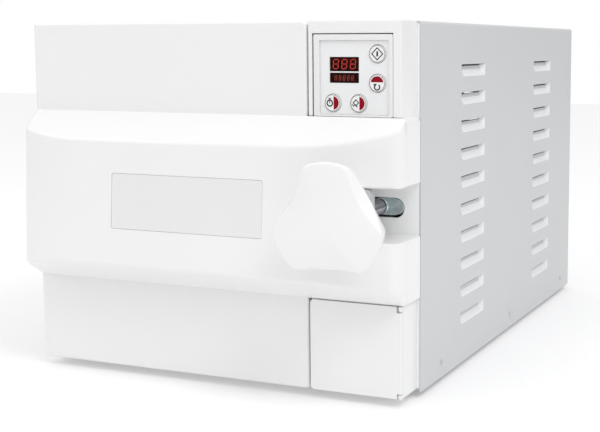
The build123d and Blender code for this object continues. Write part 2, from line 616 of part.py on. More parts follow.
ROCKER_TILT = radians(10)
rocker_plane = Plane(
    origin=(SWITCH_X - 7.6, ROCKER_Y, SWITCH_Z),
    x_dir=(0, cos(ROCKER_TILT), sin(ROCKER_TILT)),
    z_dir=(1, 0, 0),
)
with BuildPart() as power_switch_rocker:
    with BuildSketch(rocker_plane):
        with BuildLine():
            ThreePointArc((-7, 10.5), (-5, 0), (-7, -10.5))
            Polyline((-7, -10.5), (0, -10.5), (3, -4), (3, 4), (0, 10.5), (-7, 10.5))
        make_face()
    extrude(amount=15.2)
    add(bar_x(ROCKER_Y, SWITCH_Z, 1.5, SWITCH_X - 9, SWITCH_X + 9))
save(power_switch_rocker, "power_switch_rocker")

DRAIN_X = COLUMN_LEFT + 78.0
DRAIN_Z = SILL + 64.0
with BuildPart() as drain_valve_body:
    add(bar_y(DRAIN_X, DRAIN_Z, 9, PLATE_Y - 3, PLATE_Y))
    add(bar_y(DRAIN_X, DRAIN_Z, 6, PLATE_Y, PLATE_Y + 30))
    add(bar_y(DRAIN_X, DRAIN_Z, 4, PLATE_Y - 8, PLATE_Y - 3))
save(drain_valve_body, "drain_valve_body")

with BuildPart() as drain_valve_knob:
    with BuildSketch(facing(PLATE_Y - 3.5)):
        with Locations((DRAIN_X, DRAIN_Z)):
            Circle(12)
            with PolarLocations(12, 8):
                Circle(2.2, mode=Mode.SUBTRACT)
    extrude(amount=16)
    add(bar_y(DRAIN_X, DRAIN_Z, 4.05, PLATE_Y - 8.2, PLATE_Y), mode=Mode.SUBTRACT)
save(drain_valve_knob, "drain_valve_knob")

FUSE_SPOTS = ((COLUMN_LEFT + 78.0, SILL + 26.0), (COLUMN_LEFT + 54.0, SILL + 20.0))
with BuildPart() as fuse_holders:
    for index, (x, z) in enumerate(FUSE_SPOTS):
        radius = (6.0, 5.0)[index]
        add(bar_y(x, z, radius, PLATE_Y, PLATE_Y + 28))
        add(bar_y(x, z, radius + 2, PLATE_Y - 8, PLATE_Y))
save(fuse_holders, "fuse_holders")

# ---- control panel ------------------------------------------------------------------------------
BEZEL_BACK = FRONT + 5.0
with BuildPart() as control_bezel:
    add(block(BEZEL_LEFT, BEZEL_RIGHT, FRONT, BEZEL_BACK, BEZEL_LOW, BEZEL_HIGH))
    add(
        block(PANEL_LEFT, PANEL_RIGHT, FRONT - 1, PANEL_FACE + 0.5, PANEL_LOW, PANEL_HIGH),
        mode=Mode.SUBTRACT,
    )
    with BuildSketch(facing(BEZEL_BACK + 1)):
        with Locations(*KEYS.values()):
            Circle(KEY_R + 0.5)
        for x, z, wide, tall in DISPLAYS.values():
            with Locations((x, z)):
                Rectangle(wide + 0.4, tall + 0.4)
    extrude(amount=8, mode=Mode.SUBTRACT)
save(control_bezel, "control_bezel")

with BuildPart() as control_overlay:
    with BuildSketch(facing(PANEL_FACE + 0.5)):
        with Locations(((PANEL_LEFT + PANEL_RIGHT) / 2, (PANEL_LOW + PANEL_HIGH) / 2)):
            Rectangle(PANEL_RIGHT - PANEL_LEFT - 0.4, PANEL_HIGH - PANEL_LOW - 0.4)
        with Locations(*KEYS.values()):
            Circle(KEY_R + 0.5, mode=Mode.SUBTRACT)
        for x, z, wide, tall in DISPLAYS.values():
            with Locations((x, z)):
                Rectangle(wide + 0.4, tall + 0.4, mode=Mode.SUBTRACT)
    extrude(amount=0.5)
save(control_overlay, "control_overlay")

BOARD_FRONT = FRONT + 9.0
with BuildPart() as display_windows:
    for x, z, wide, tall in DISPLAYS.values():
        add(block(x - wide / 2, x + wide / 2, PANEL_FACE - 0.2, PANEL_FACE + 1.0, z - tall / 2, z + tall / 2))
save(display_windows, "display_windows")

with BuildPart() as display_modules:
    for x, z, wide, tall in DISPLAYS.values():
        half_w = wide / 2 - 0.5
        half_t = tall / 2 - 0.5
        add(block(x - half_w, x + half_w, PANEL_FACE + 1.2, BOARD_FRONT, z - half_t, z + half_t))
save(display_modules, "display_modules")

for key_name, (x, z) in KEYS.items():
    with BuildPart() as key:
        add(bar_y(x, z, KEY_R, PANEL_FACE - 1.2, PANEL_FACE + 4.6))
        fillet(key.edges().group_by(Axis.Y)[0], 0.5)
    save(key, key_name)

with BuildPart() as keypad_board:
    add(block(COLUMN_LEFT + 4, COLUMN_RIGHT - 4, BOARD_FRONT, BOARD_FRONT + 1.6, SILL + 279, SILL + 358))
    for x, z in KEYS.values():
        add(bar_y(x, z, 1.8, BOARD_FRONT - 1.4, BOARD_FRONT))
    add(block(LEFT + 350, LEFT + 380, BOARD_FRONT + 1.6, BOARD_FRONT + 5, SILL + 300, SILL + 316))
save(keypad_board, "keypad_board")

# ---- door ---------------------------------------------------------------------------------------
band_skin = band_solid(0, FRONT)
band_hollow = band_solid(WALL, FRONT)
band_core = band_solid(0.5, FRONT)

BADGE_X = LEFT + 206.2
BADGE_Z = SILL + 183.0
LEAN = (BAND_PROUD_LOW - BAND_PROUD_HIGH) / (BAND_HIGH - BAND_LOW)
BADGE_Y = FRONT - BAND_PROUD_LOW + LEAN * (BADGE_Z - BAND_LOW)
badge_plane = Plane(origin=(BADGE_X, BADGE_Y, BADGE_Z), x_dir=(1, 0, 0), z_dir=(0, -1, -LEAN))
with BuildPart() as door_cover:
    add(block(LEFT, DOOR_RIGHT, FRONT, DOOR_BACK, SILL, TOP))
    fillet(door_cover.edges().filter_by(Axis.Y).group_by(Axis.X)[-1], 4.5)
    add(band_skin)
    add(
        block(COLUMN_LEFT - 3, BAND_RIGHT, FRONT - 0.01, BAND_OVERLAP_BACK, BAND_LOW, BAND_HIGH - 5),
    )
    add(
        block(LEFT + WALL, DOOR_RIGHT - WALL, FRONT + WALL, DOOR_BACK + 1, SILL + WALL, TOP - WALL),
        mode=Mode.SUBTRACT,
    )
    add(band_hollow, mode=Mode.SUBTRACT)
    add(
        block(
            LEFT + WALL,
            BAND_RIGHT - WALL,
            FRONT - 0.01,
            BAND_OVERLAP_BACK + 1,
            BAND_LOW + WALL,
            BAND_HIGH - 5 - WALL,
        ),
        mode=Mode.SUBTRACT,
    )
    overlap = block(COLUMN_LEFT, BAND_RIGHT - 0.5, FRONT - 0.1, BAND_OVERLAP_BACK, BAND_LOW, BAND_HIGH - 5)
    ledge = band_core + overlap
    for z0 in (NOTCH_LOW - WALL, NOTCH_HIGH):
        add(ledge & block(LATCH_X - 12, BAND_RIGHT, FRONT - 60, BAND_OVERLAP_BACK, z0, z0 + WALL))
    notch_mid = (NOTCH_LOW + NOTCH_HIGH) / 2
    notch_r = (NOTCH_HIGH - NOTCH_LOW) / 2
    add(bar_y(LATCH_X, notch_mid, notch_r, FRONT - 60, BAND_OVERLAP_BACK + 1), mode=Mode.SUBTRACT)
    add(
        block(LATCH_X, BAND_RIGHT + 1, FRONT - 60, BAND_OVERLAP_BACK + 1, NOTCH_LOW, NOTCH_HIGH),
        mode=Mode.SUBTRACT,
    )
    for z in HINGE_HEIGHTS:
        half = HINGE_TALL / 2 + 3
        add(block(LEFT - 1, LEFT + WALL + 1, FRONT + 18, DOOR_BACK + 1, z - half, z + half), mode=Mode.SUBTRACT)
    with BuildSketch(badge_plane.offset(-1.0)):
        RectangleRounded(176.6, 57.2, 2)
    extrude(amount=4, mode=Mode.SUBTRACT)
save(door_cover, "door_cover")

with BuildPart() as label_plate:
    with BuildSketch(badge_plane.offset(-0.9)):
        RectangleRounded(176, 56.6, 1.7)
    extrude(amount=0.7)
save(label_plate, "label_plate")

FRAME_FRONT = FRONT + 22.0
FRAME_BACK = FRONT + 24.0
with BuildPart() as door_frame_plate:
    add(block(LEFT + 14, DOOR_RIGHT - 3, FRAME_FRONT, FRAME_BACK, SILL + 3, TOP - 3))
    add(bar_y(CHAMBER_X, CHAMBER_Z, 10.2, FRAME_FRONT - 1, FRAME_BACK + 1), mode=Mode.SUBTRACT)
save(door_frame_plate, "door_frame_plate")

with BuildPart() as door_crossbar:
    add(block(LEFT + 14, LATCH_X - 20, CROSSBAR_FRONT, CROSSBAR_BACK, LATCH_Z - 30, LATCH_Z + 30))
    add(block(LATCH_X - 30, LATCH_X + 20, CROSSBAR_FRONT, CROSSBAR_BACK, NOTCH_LOW + 0.8, NOTCH_HIGH - 0.8))
    fillet(door_crossbar.edges().filter_by(Axis.Y).group_by(Axis.X)[-1], 6)
    add(bar_y(LATCH_X, LATCH_Z, 11, CROSSBAR_FRONT - 1, CROSSBAR_BACK + 1), mode=Mode.SUBTRACT)
save(door_crossbar, "door_crossbar")

SPACER_SPOTS = [(x, z) for x in (LEFT + 40, LEFT + 300) for z in (LATCH_Z - 20, LATCH_Z + 20)]
with BuildPart() as crossbar_spacers:
    for x, z in SPACER_SPOTS:
        add(bar_y(x, z, 6, CROSSBAR_BACK, FRAME_FRONT))
save(crossbar_spacers, "crossbar_spacers")

LID_FRONT = FRONT + 27.0
LID_BACK = FRONT + 35.0
GASKET_FACE = FLANGE_FACE - 0.3
with BuildPart() as pressure_lid:
    with BuildSketch(Plane(origin=(CHAMBER_X, 0, CHAMBER_Z), x_dir=(1, 0, 0), z_dir=(0, 0, 1))):
        with BuildLine():
            Line((0, LID_FRONT), (30, LID_FRONT))
            ThreePointArc((30, LID_FRONT), (90, LID_FRONT + 0.8), (143, LID_FRONT + 3))
            Polyline((143, LID_FRONT + 3), (143, GASKET_FACE - 1), (138.5, GASKET_FACE - 1), (138.5, LID_BACK))
            Polyline((138.5, LID_BACK), (0, LID_BACK), (0, LID_FRONT))
        make_face()
    revolve(axis=CHAMBER_AXIS)
save(pressure_lid, "pressure_lid")

with BuildPart() as door_gasket:
    add(bar_y(CHAMBER_X, CHAMBER_Z, 138.3, LID_BACK, GASKET_FACE))
    add(bar_y(CHAMBER_X, CHAMBER_Z, 124, LID_BACK - 1, GASKET_FACE + 1), mode=Mode.SUBTRACT)
save(door_gasket, "door_gasket")

with BuildPart() as lid_centre_bolt:
    add(bar_y(CHAMBER_X, CHAMBER_Z, 10, CROSSBAR_BACK, LID_FRONT))
save(lid_centre_bolt, "lid_centre_bolt")

# ---- hinge --------------------------------------------------------------------------------------
with BuildPart() as hinge_brackets:
    for z in HINGE_HEIGHTS:
        half = HINGE_TALL / 2
        for z0, z1 in ((z - half, z - half + 12), (z + half - 12, z + half)):
            add(bar_z(HINGE_X, HINGE_Y, KNUCKLE_R, z0, z1))
            add(block(HINGE_X - 2, HINGE_X + 2, HINGE_Y, PLATE_Y, z0, z1))
        add(block(HINGE_X - 2, HINGE_X + 30, PLATE_Y - 2.5, PLATE_Y, z - half, z + half))
    for z in HINGE_HEIGHTS:
        half = HINGE_TALL / 2
        bore = bar_z(HINGE_X, HINGE_Y, HINGE_PIN_R + 0.05, z - half - 1, z + half + 1)
        add(bore, mode=Mode.SUBTRACT)
save(hinge_brackets, "hinge_brackets")

with BuildPart() as hinge_pins:
    for z in HINGE_HEIGHTS:
        add(bar_z(HINGE_X, HINGE_Y, HINGE_PIN_R, z - 21, z + 21))
        add(bar_z(HINGE_X, HINGE_Y, 3.8, z + 20.2, z + 22))
save(hinge_pins, "hinge_pins")

with BuildPart() as hinge_arms:
    for z in HINGE_HEIGHTS:
        add(bar_z(HINGE_X, HINGE_Y, KNUCKLE_R, z - 7.6, z + 7.6))
        add(block(HINGE_X, HINGE_X + 12, HINGE_Y - 4.5, HINGE_Y - 1.0, z - 7.6, z + 7.6))
        add(block(HINGE_X + 9, HINGE_X + 44, FRAME_BACK, FRAME_BACK + 3, z - 18, z + 18))
    for z in HINGE_HEIGHTS:
        bore = bar_z(HINGE_X, HINGE_Y, HINGE_PIN_R + 0.05, z - 10, z + 10)
        add(bore, mode=Mode.SUBTRACT)
save(hinge_arms, "hinge_arms")

with BuildPart() as hinge_screws:
    for z in HINGE_HEIGHTS:
        for dz in (-12, 12):
            add(bar_y(HINGE_X + 34, z + dz, 3.5, FRAME_BACK + 3, FRAME_BACK + 5.5))
save(hinge_screws, "hinge_screws")

# ---- latch --------------------------------------------------------------------------------------
with BuildPart() as latch_bushing:
    add(bar_y(LATCH_X, LATCH_Z, 11, CROSSBAR_FRONT, CROSSBAR_BACK))
    add(bar_y(LATCH_X, LATCH_Z, 14, CROSSBAR_BACK, CROSSBAR_BACK + 4))
    add(bar_y(LATCH_X, LATCH_Z, SPINDLE_R + 0.06, FRONT - 60, FRONT + 20), mode=Mode.SUBTRACT)
save(latch_bushing, "latch_bushing")

with BuildPart() as latch_knob:
    lobe_half = radians(22.5)
    lobe_angles = [radians(a) for a in (90, 210, 330)]
    with BuildSketch(facing(KNOB_BACK)) as knob_outline:
        with BuildLine():
            for index, angle in enumerate(lobe_angles):
                start = angle - lobe_half
                finish = angle + lobe_half
                following = lobe_angles[(index + 1) % 3] - lobe_half
                corners = [
                    (LATCH_X + KNOB_R * cos(a), LATCH_Z + KNOB_R * sin(a))
                    for a in (start, angle, finish, following)
                ]
                ThreePointArc(corners[0], corners[1], corners[2])
                Line(corners[2], corners[3])
        make_face()
        fillet(knob_outline.vertices(), 7)
    extrude(amount=KNOB_BACK - KNOB_FRONT)
    dome_r = 200.0
    dome = Pos(LATCH_X, KNOB_FRONT + dome_r, LATCH_Z) * Sphere(dome_r, mode=Mode.PRIVATE)
    add(dome, mode=Mode.INTERSECT)
    add(bar_y(LATCH_X, LATCH_Z, HUB_R, KNOB_BACK, CROSSBAR_FRONT - 0.3))
    add(bar_y(LATCH_X, LATCH_Z, 11, KNOB_BACK - 12, CROSSBAR_FRONT), mode=Mode.SUBTRACT)
save(latch_knob, "latch_knob")

with BuildPart() as knob_insert:
    add(bar_y(LATCH_X, LATCH_Z, 11, KNOB_BACK - 12, CROSSBAR_FRONT - 0.3))
    add(bar_y(LATCH_X, LATCH_Z, SPINDLE_R, KNOB_BACK - 10, CROSSBAR_FRONT + 1), mode=Mode.SUBTRACT)
save(knob_insert, "knob_insert")

with BuildPart() as latch_spindle:
    add(bar_y(LATCH_X, LATCH_Z, SPINDLE_R, KNOB_BACK - 10, DOG_FRONT))
save(latch_spindle, "latch_spindle")

with BuildPart() as latch_dog:
    with BuildSketch(facing(DOG_FRONT + DOG_THICK)):
        with Locations((LATCH_X + DOG_REACH / 2, LATCH_Z)):
            SlotCenterToCenter(DOG_REACH, 2 * DOG_R)
    extrude(amount=DOG_THICK)
save(latch_dog, "latch_dog")
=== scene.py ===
"""Benchtop autoclave: the looks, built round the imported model.

Shapes are given in millimetres in the fascia's own frame: x to the right from its left end, y to
the back from its front face (the door's band and knob have y below 0) and z up from its bottom.
place() turns such a point into the row frame.
"""
import json
import math

import bmesh
import bpy
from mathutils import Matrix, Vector
from mathutils.geometry import delaunay_2d_cdt

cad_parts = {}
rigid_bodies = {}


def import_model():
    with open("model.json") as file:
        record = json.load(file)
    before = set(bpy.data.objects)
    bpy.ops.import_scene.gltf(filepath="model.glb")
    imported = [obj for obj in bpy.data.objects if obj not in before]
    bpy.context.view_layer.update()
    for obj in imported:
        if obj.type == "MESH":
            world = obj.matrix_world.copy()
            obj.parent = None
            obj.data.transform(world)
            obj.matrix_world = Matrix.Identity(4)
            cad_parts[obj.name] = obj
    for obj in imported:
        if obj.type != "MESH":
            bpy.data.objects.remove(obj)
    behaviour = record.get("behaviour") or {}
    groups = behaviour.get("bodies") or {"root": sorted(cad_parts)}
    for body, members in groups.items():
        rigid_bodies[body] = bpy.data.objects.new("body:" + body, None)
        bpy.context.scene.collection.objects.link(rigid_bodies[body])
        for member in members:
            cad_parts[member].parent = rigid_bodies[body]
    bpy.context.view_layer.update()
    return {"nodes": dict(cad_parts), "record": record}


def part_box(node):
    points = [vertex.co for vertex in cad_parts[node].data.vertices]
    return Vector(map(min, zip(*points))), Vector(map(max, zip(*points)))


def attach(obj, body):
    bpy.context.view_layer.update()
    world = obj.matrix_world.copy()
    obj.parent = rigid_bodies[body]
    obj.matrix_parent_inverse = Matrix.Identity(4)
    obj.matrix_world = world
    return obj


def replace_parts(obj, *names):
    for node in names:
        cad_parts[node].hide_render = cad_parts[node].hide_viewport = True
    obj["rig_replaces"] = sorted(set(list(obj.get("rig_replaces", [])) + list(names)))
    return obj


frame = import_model()
NODES = frame["nodes"]
SLOT_OF = {part["node"]: part["material_slot"] for part in frame["record"]["subparts"]}
BODY_OF = {}
for body_name, members in frame["record"]["behaviour"]["bodies"].items():
    for member in members:
        BODY_OF[member] = body_name

MM = 0.001
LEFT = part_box("door_cover")[0].x
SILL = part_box("door_cover")[0].z
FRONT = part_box("service_cover")[0].y


def place(x, y, z):
    """A point of the fascia's frame, in millimetres, as a point of the row frame, in metres."""
    return Vector((LEFT + x * MM, FRONT + y * MM, SILL + z * MM))


def local(point):
    """A point of the row frame, in metres, as fascia millimetres."""
    return Vector(((point[0] - LEFT) / MM, (point[1] - FRONT) / MM, (point[2] - SILL) / MM))


def node_box(node):
    """The corners of a CAD node in fascia millimetres."""
    low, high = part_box(node)
    return local(low), local(high)


def add_object(name, data):
    obj = bpy.data.objects.new(name, data)
    bpy.context.scene.collection.objects.link(obj)
    return obj


# ---- camera and light -----------------------------------------------------------------------------
def make_camera():
    data = bpy.data.cameras.new("camera")
    camera = add_object("camera", data)
    camera.location = place(846, -1008, 340)
    camera.rotation_euler = (math.radians(90 - 6.38), 0, math.radians(22.59))
    data.sensor_width = 36
    data.lens = 69.6
    data.shift_x = -0.167
    data.shift_y = -0.0658
    data.clip_start = 0.01
    data.clip_end = 60
    bpy.context.scene.camera = camera


def make_light(name, at, aim, size, power):
    data = bpy.data.lights.new(name, "AREA")
    data.shape = "SQUARE"
    data.size = size
    data.energy = power
    lamp = add_object(name, data)
    lamp.location = at
    lamp.rotation_euler = (Vector(aim) - Vector(at)).to_track_quat("-Z", "Y").to_euler()


def set_inputs(tree, node, inputs):
    """Fill a shader node's inputs: a value is set, another node's output is linked."""
    for socket, value in inputs.items():
        if isinstance(value, bpy.types.NodeSocket):
            tree.links.new(value, node.inputs[socket])
        else:
            node.inputs[socket].default_value = value


def add_node(tree, kind, inputs=None):
    """Add a shader node and give back its outputs."""
    node = tree.nodes.new(kind)
    set_inputs(tree, node, inputs or {})
    return node.outputs


def make_studio():
    """White surroundings that are brightest overhead and plain white to the camera, and two lamps."""
    world = bpy.data.worlds.new("studio")
    bpy.context.scene.world = world
    world.use_nodes = True
    tree = world.node_tree
    where = add_node(tree, "ShaderNodeTexCoord")["Generated"]
    split = add_node(tree, "ShaderNodeSeparateXYZ", {0: where})
    height = add_node(tree, "ShaderNodeMapRange", {
        "Value": split["Z"], "From Min": 0.0, "From Max": 1.0, "To Min": 0.24, "To Max": 1.30})
    soft = tree.nodes["Background"]
    set_inputs(tree, soft, {"Color": (1.0, 1.0, 1.0, 1), "Strength": height["Result"]})
    white = add_node(tree, "ShaderNodeBackground", {"Color": (1.0, 1.0, 1.0, 1), "Strength": 1.0})
    seen = add_node(tree, "ShaderNodeLightPath")["Is Camera Ray"]
    either = add_node(tree, "ShaderNodeMixShader", {0: seen, 1: soft.outputs[0], 2: white[0]})
    set_inputs(tree, tree.nodes["World Output"], {"Surface": either[0]})
    bpy.context.scene.view_settings.view_transform = "Standard"
    make_light("key", (-2.1, -2.0, 1.8), (0, 0, 0.15), 1.3, 11)
    make_light("right", (1.7, -1.2, 2.3), (0.1, 0, 0.2), 0.9, 21)


# ---- materials ----------------------------------------------------------------------------------
def shade_of(colour, factor):
    return tuple(min(1.0, max(0.0, c * factor)) for c in colour[:3]) + (1.0,)


MATERIALS = {}


def make_material(name, colour, rough, metal=0.0, mottle=0.02, mottle_scale=9.0, rough_shift=0.04,
                  grain=(1, 1, 1), grain_scale=300.0, depth=0.00002, pattern="noise", coat=0.0,
                  sheen=0.0, alpha=1.0, glow=0.0, scratches=0.0, subsurface=0.0, specular=0.5):
    """Add a procedural finish to MATERIALS: colour mottling, roughness variation and relief, all in
    object space."""
    material = bpy.data.materials.new(name)
    material.use_nodes = True
    tree = material.node_tree
    where = add_node(tree, "ShaderNodeTexCoord")["Object"]
    stretched = add_node(tree, "ShaderNodeMapping", {"Vector": where, "Scale": grain})["Vector"]
    broad = add_node(tree, "ShaderNodeTexNoise", {"Vector": where, "Scale": mottle_scale, "Detail": 5})
    ramp = tree.nodes.new("ShaderNodeValToRGB")
    for stop, at, factor in zip(ramp.color_ramp.elements, (0.3, 0.7), (1 - mottle, 1 + mottle)):
        stop.position = at
        stop.color = shade_of(colour, factor)
    set_inputs(tree, ramp, {"Fac": broad["Fac"]})
    tint = ramp.outputs["Color"]
    fine = {"Vector": stretched, "Scale": grain_scale}
    if pattern == "cells":
        height = add_node(tree, "ShaderNodeTexVoronoi", fine)["Distance"]
    else:
        fine.update({"Detail": 8, "Distortion": 2.5} if pattern == "fibres" else {"Detail": 3})
        height = add_node(tree, "ShaderNodeTexNoise", fine)["Fac"]
    roughness = add_node(tree, "ShaderNodeMapRange", {
        "Value": height, "From Min": 0.25, "From Max": 0.75,
        "To Min": max(0.02, rough - rough_shift), "To Max": min(1.0, rough + rough_shift)})
    relief = add_node(tree, "ShaderNodeBump", {"Height": height, "Strength": 1.0, "Distance": depth})
    base = tint
    if scratches > 0:
        streaks = add_node(tree, "ShaderNodeMapping", {"Vector": where, "Scale": (0.02, 1, 1)})["Vector"]
        marks = add_node(tree, "ShaderNodeTexNoise", {"Vector": streaks, "Scale": 2200, "Detail": 2})
        blend = tree.nodes.new("ShaderNodeMix")
        blend.data_type = "RGBA"
        blend.blend_type = "MULTIPLY"
        set_inputs(tree, blend, {"Factor": scratches, 6: tint, 7: marks["Fac"]})
        base = blend.outputs[2]
    surface = {"Base Color": base, "Roughness": roughness["Result"], "Normal": relief["Normal"],
               "Metallic": metal, "Specular IOR Level": specular, "Coat Weight": coat,
               "Coat Roughness": 0.12, "Sheen Weight": sheen, "Alpha": alpha,
               "Subsurface Weight": subsurface, "Subsurface Scale": 0.002}
    # Glow is emission in the surface's own colour: the lit figures' own light and the floor's even white,
    # but painted light on the chamber, the dog and the front plate.
    if glow > 0:
        surface.update({"Emission Color": tint, "Emission Strength": glow})
    set_inputs(tree, tree.nodes["Principled BSDF"], surface)
    MATERIALS[name] = material


make_material("casing_paint", (0.62, 0.63, 0.64), 0.46, mottle=0.010, rough_shift=0.07, grain_scale=850,
              depth=0.000015)
make_material("cover_white", (0.87, 0.87, 0.87), 0.32, mottle=0.006, grain_scale=200, rough_shift=0.015,
              depth=0.0000015, coat=0.15)
make_material("knob_white", (0.88, 0.88, 0.88), 0.30, mottle=0.006, grain_scale=200, rough_shift=0.01,
              depth=0.000001, coat=0.15)
make_material("bezel_white", (0.82, 0.82, 0.825), 0.38, mottle=0.008, grain_scale=700, depth=0.00003)
make_material("overlay_grey", (0.83, 0.835, 0.84), 0.5, mottle=0.006, grain_scale=1600, depth=0.00002)
make_material("key_white", (0.86, 0.86, 0.85), 0.36, mottle=0.006, grain_scale=900, depth=0.00002)
make_material("badge_grey", (0.80, 0.80, 0.805), 0.42, mottle=0.01, grain_scale=900, depth=0.00003)
make_material("display_glass", (0.035, 0.006, 0.006), 0.12, mottle=0.05, grain_scale=300, depth=0.00001,
              alpha=0.4, specular=0.12)
make_material("display_black", (0.012, 0.008, 0.008), 0.6, mottle=0.1, grain_scale=2500, depth=0.00003,
              specular=0.1)
make_material("stainless", (0.66, 0.66, 0.65), 0.30, metal=1.0, mottle=0.04, grain=(0.02, 1, 1),
              grain_scale=1500, rough_shift=0.10, depth=0.00001, scratches=0.25)
make_material("bright_steel", (0.76, 0.79, 0.80), 0.16, metal=1.0, mottle=0.05, mottle_scale=90,
              grain_scale=600, rough_shift=0.06, depth=0.00001)
make_material("zinc_steel", (0.62, 0.63, 0.65), 0.38, metal=1.0, mottle=0.07, mottle_scale=45,
              grain_scale=120, rough_shift=0.12, depth=0.00001, pattern="cells")
make_material("brass_fitting", (0.74, 0.54, 0.27), 0.26, metal=1.0, mottle=0.06, mottle_scale=60,
              grain=(1, 0.05, 1), grain_scale=1500, depth=0.00001)
make_material("silicone_seal", (0.78, 0.77, 0.73), 0.55, mottle=0.02, grain_scale=500, depth=0.00004,
              subsurface=0.15)
make_material("black_rubber", (0.022, 0.022, 0.023), 0.78, mottle=0.15, mottle_scale=70,
              grain_scale=1400, rough_shift=0.1, depth=0.00012, sheen=0.1)
make_material("black_plastic", (0.028, 0.028, 0.030), 0.48, mottle=0.08, grain_scale=1800,
              rough_shift=0.08, depth=0.00008, pattern="cells")
make_material("red_plastic", (0.46, 0.022, 0.02), 0.3, mottle=0.05, grain_scale=700, depth=0.00003,
              coat=0.2)
make_material("mineral_wool", (0.66, 0.60, 0.44), 0.95, mottle=0.2, mottle_scale=60, grain_scale=260,
              depth=0.0012, pattern="fibres", sheen=0.2)
make_material("circuit_green", (0.02, 0.15, 0.07), 0.36, mottle=0.3, mottle_scale=160, grain_scale=260,
              depth=0.00006, pattern="cells", coat=0.3)
make_material("print_dark", (0.012, 0.012, 0.014), 0.6, mottle=0.1, grain_scale=2000, depth=0.00001,
              specular=0.1)
make_material("print_red", (0.26, 0.004, 0.014), 0.55, mottle=0.06, grain_scale=2000, depth=0.00001,
              specular=0.1)
make_material("digit_bright", (0.9, 0.09, 0.06), 0.5, mottle=0.08, mottle_scale=400, depth=0.00001,
              glow=1.25, specular=0.1)
make_material("digit_dim", (0.55, 0.11, 0.08), 0.5, mottle=0.08, mottle_scale=400, depth=0.00001,
              glow=1.3, specular=0.1)
make_material("dark_steel", (0.30, 0.31, 0.33), 0.24, metal=1.0, mottle=0.12, mottle_scale=120,
              grain_scale=1200, depth=0.00001)
# The chamber's steel glows a little: painted light that brightens its shaded inside.
make_material("chamber_steel", (0.68, 0.68, 0.67), 0.34, metal=0.85, mottle=0.04, grain=(1, 0.02, 1),
              grain_scale=1500, rough_shift=0.10, depth=0.00001, scratches=0.2, glow=0.10)
# A lighter copy of the casing paint for the louvres' steps and rear ends: a painted highlight standing in
# for light from above.
make_material("louvre_painted_highlight", (0.84, 0.85, 0.86), 0.42, mottle=0.010, grain_scale=850, depth=0.000015)
# The dog glows a little: a painted glint that lifts it out of the shade in the notch.
make_material("dog_steel", (0.60, 0.72, 0.74), 0.22, metal=0.9, mottle=0.10, mottle_scale=160,
              grain_scale=700, depth=0.00001, glow=0.16)
# The front plate's paint is paler than the casing's and it glows: partly its own pale tone, partly painted
# light against the shade in the notch.
make_material("plate_paint_and_painted_light", (0.82, 0.825, 0.83), 0.42, mottle=0.010, grain_scale=850, depth=0.000015,
              glow=0.19)
make_material("floor", (0.76, 0.76, 0.765), 0.7, mottle=0.004, mottle_scale=2, grain_scale=60,
              depth=0.00001, glow=0.27)


# ---- mesh tools ---------------------------------------------------------------------------------
def polish(obj, angle=30):
    """Smooth shading that keeps flats flat and true edges sharp."""
    obj.data.shade_smooth()
    obj.data.set_sharp_from_angle(angle=math.radians(angle))
    weighted = obj.modifiers.new("flat faces stay flat", "WEIGHTED_NORMAL")
    weighted.mode = "FACE_AREA"
    weighted.weight = 80
    weighted.keep_sharp = True


def new_object(name, points, faces):
    """An object from fascia millimetre points, its faces turned outwards."""
    mesh = bpy.data.meshes.new(name)
    mesh.from_pydata([place(*p) for p in points], [], faces)
    obj = add_object(name, mesh)
    work = bmesh.new()
    work.from_mesh(mesh)
    bmesh.ops.remove_doubles(work, verts=work.verts, dist=1e-6)
    bmesh.ops.recalc_face_normals(work, faces=work.faces)
    work.to_mesh(mesh)
    work.free()
    return obj


def own(obj, body, material, replaces=(), angle=30):
    """Finish a piece: shading, finish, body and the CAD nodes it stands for."""
    polish(obj, angle)
    obj.data.materials.clear()
    obj.data.materials.append(MATERIALS[material])
    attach(obj, body)
    if replaces:
        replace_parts(obj, *replaces)
    return obj


def bevel_edges(mesh, width, angle=30):
    """Round a mesh's convex edges by width millimetres."""
    work = bmesh.new()
    work.from_mesh(mesh)
    edges = [e for e in work.edges if e.is_manifold and e.calc_face_angle_signed(0.0) > math.radians(angle)]
    if edges:
        bmesh.ops.bevel(work, geom=edges, offset=width * MM, offset_type="OFFSET", segments=2,
                        profile=0.5, affect="EDGES", clamp_overlap=False)
    work.to_mesh(mesh)
    work.free()


def refine(node, width):
    """A piece with the shape of a CAD node, its facets merged and its sharp edges rounded."""
    source = NODES[node].data
    mesh = bpy.data.meshes.new(node + "_shape")
    mesh.from_pydata([v.co for v in source.vertices], [], [tuple(p.vertices) for p in source.polygons])
    obj = add_object(node + "_piece", mesh)
    work = bmesh.new()
    work.from_mesh(mesh)
    bmesh.ops.remove_doubles(work, verts=work.verts, dist=2e-6)
    bmesh.ops.dissolve_limit(work, angle_limit=math.radians(0.4), verts=work.verts, edges=work.edges)
    work.to_mesh(mesh)
    work.free()
    bevel_edges(mesh, width)
    return own(obj, BODY_OF[node], SLOT_OF[node], (node,))


def apply_modifiers(obj):
    bpy.context.view_layer.update()
    graph = bpy.context.evaluated_depsgraph_get()
    obj.data = bpy.data.meshes.new_from_object(obj.evaluated_get(graph))
    obj.modifiers.clear()


def cut(obj, cutter):
    """Cut the cutter's shape away at once and drop the cutter."""
    step = obj.modifiers.new("cut", "BOOLEAN")
    step.operation = "DIFFERENCE"
    step.solver = "EXACT"
    step.object = cutter
    apply_modifiers(obj)
    bpy.data.objects.remove(cutter)


def work_object(name, work):
    """An object from a bmesh that is done with."""
    mesh = bpy.data.meshes.new(name)
    work.to_mesh(mesh)
    work.free()
    return add_object(name, mesh)


def join(name, pieces):
    """One object from several, their meshes kept as they are."""
    work = bmesh.new()
    for piece in pieces:
        work.from_mesh(piece.data)
        bpy.data.objects.remove(piece)
    return work_object(name, work)


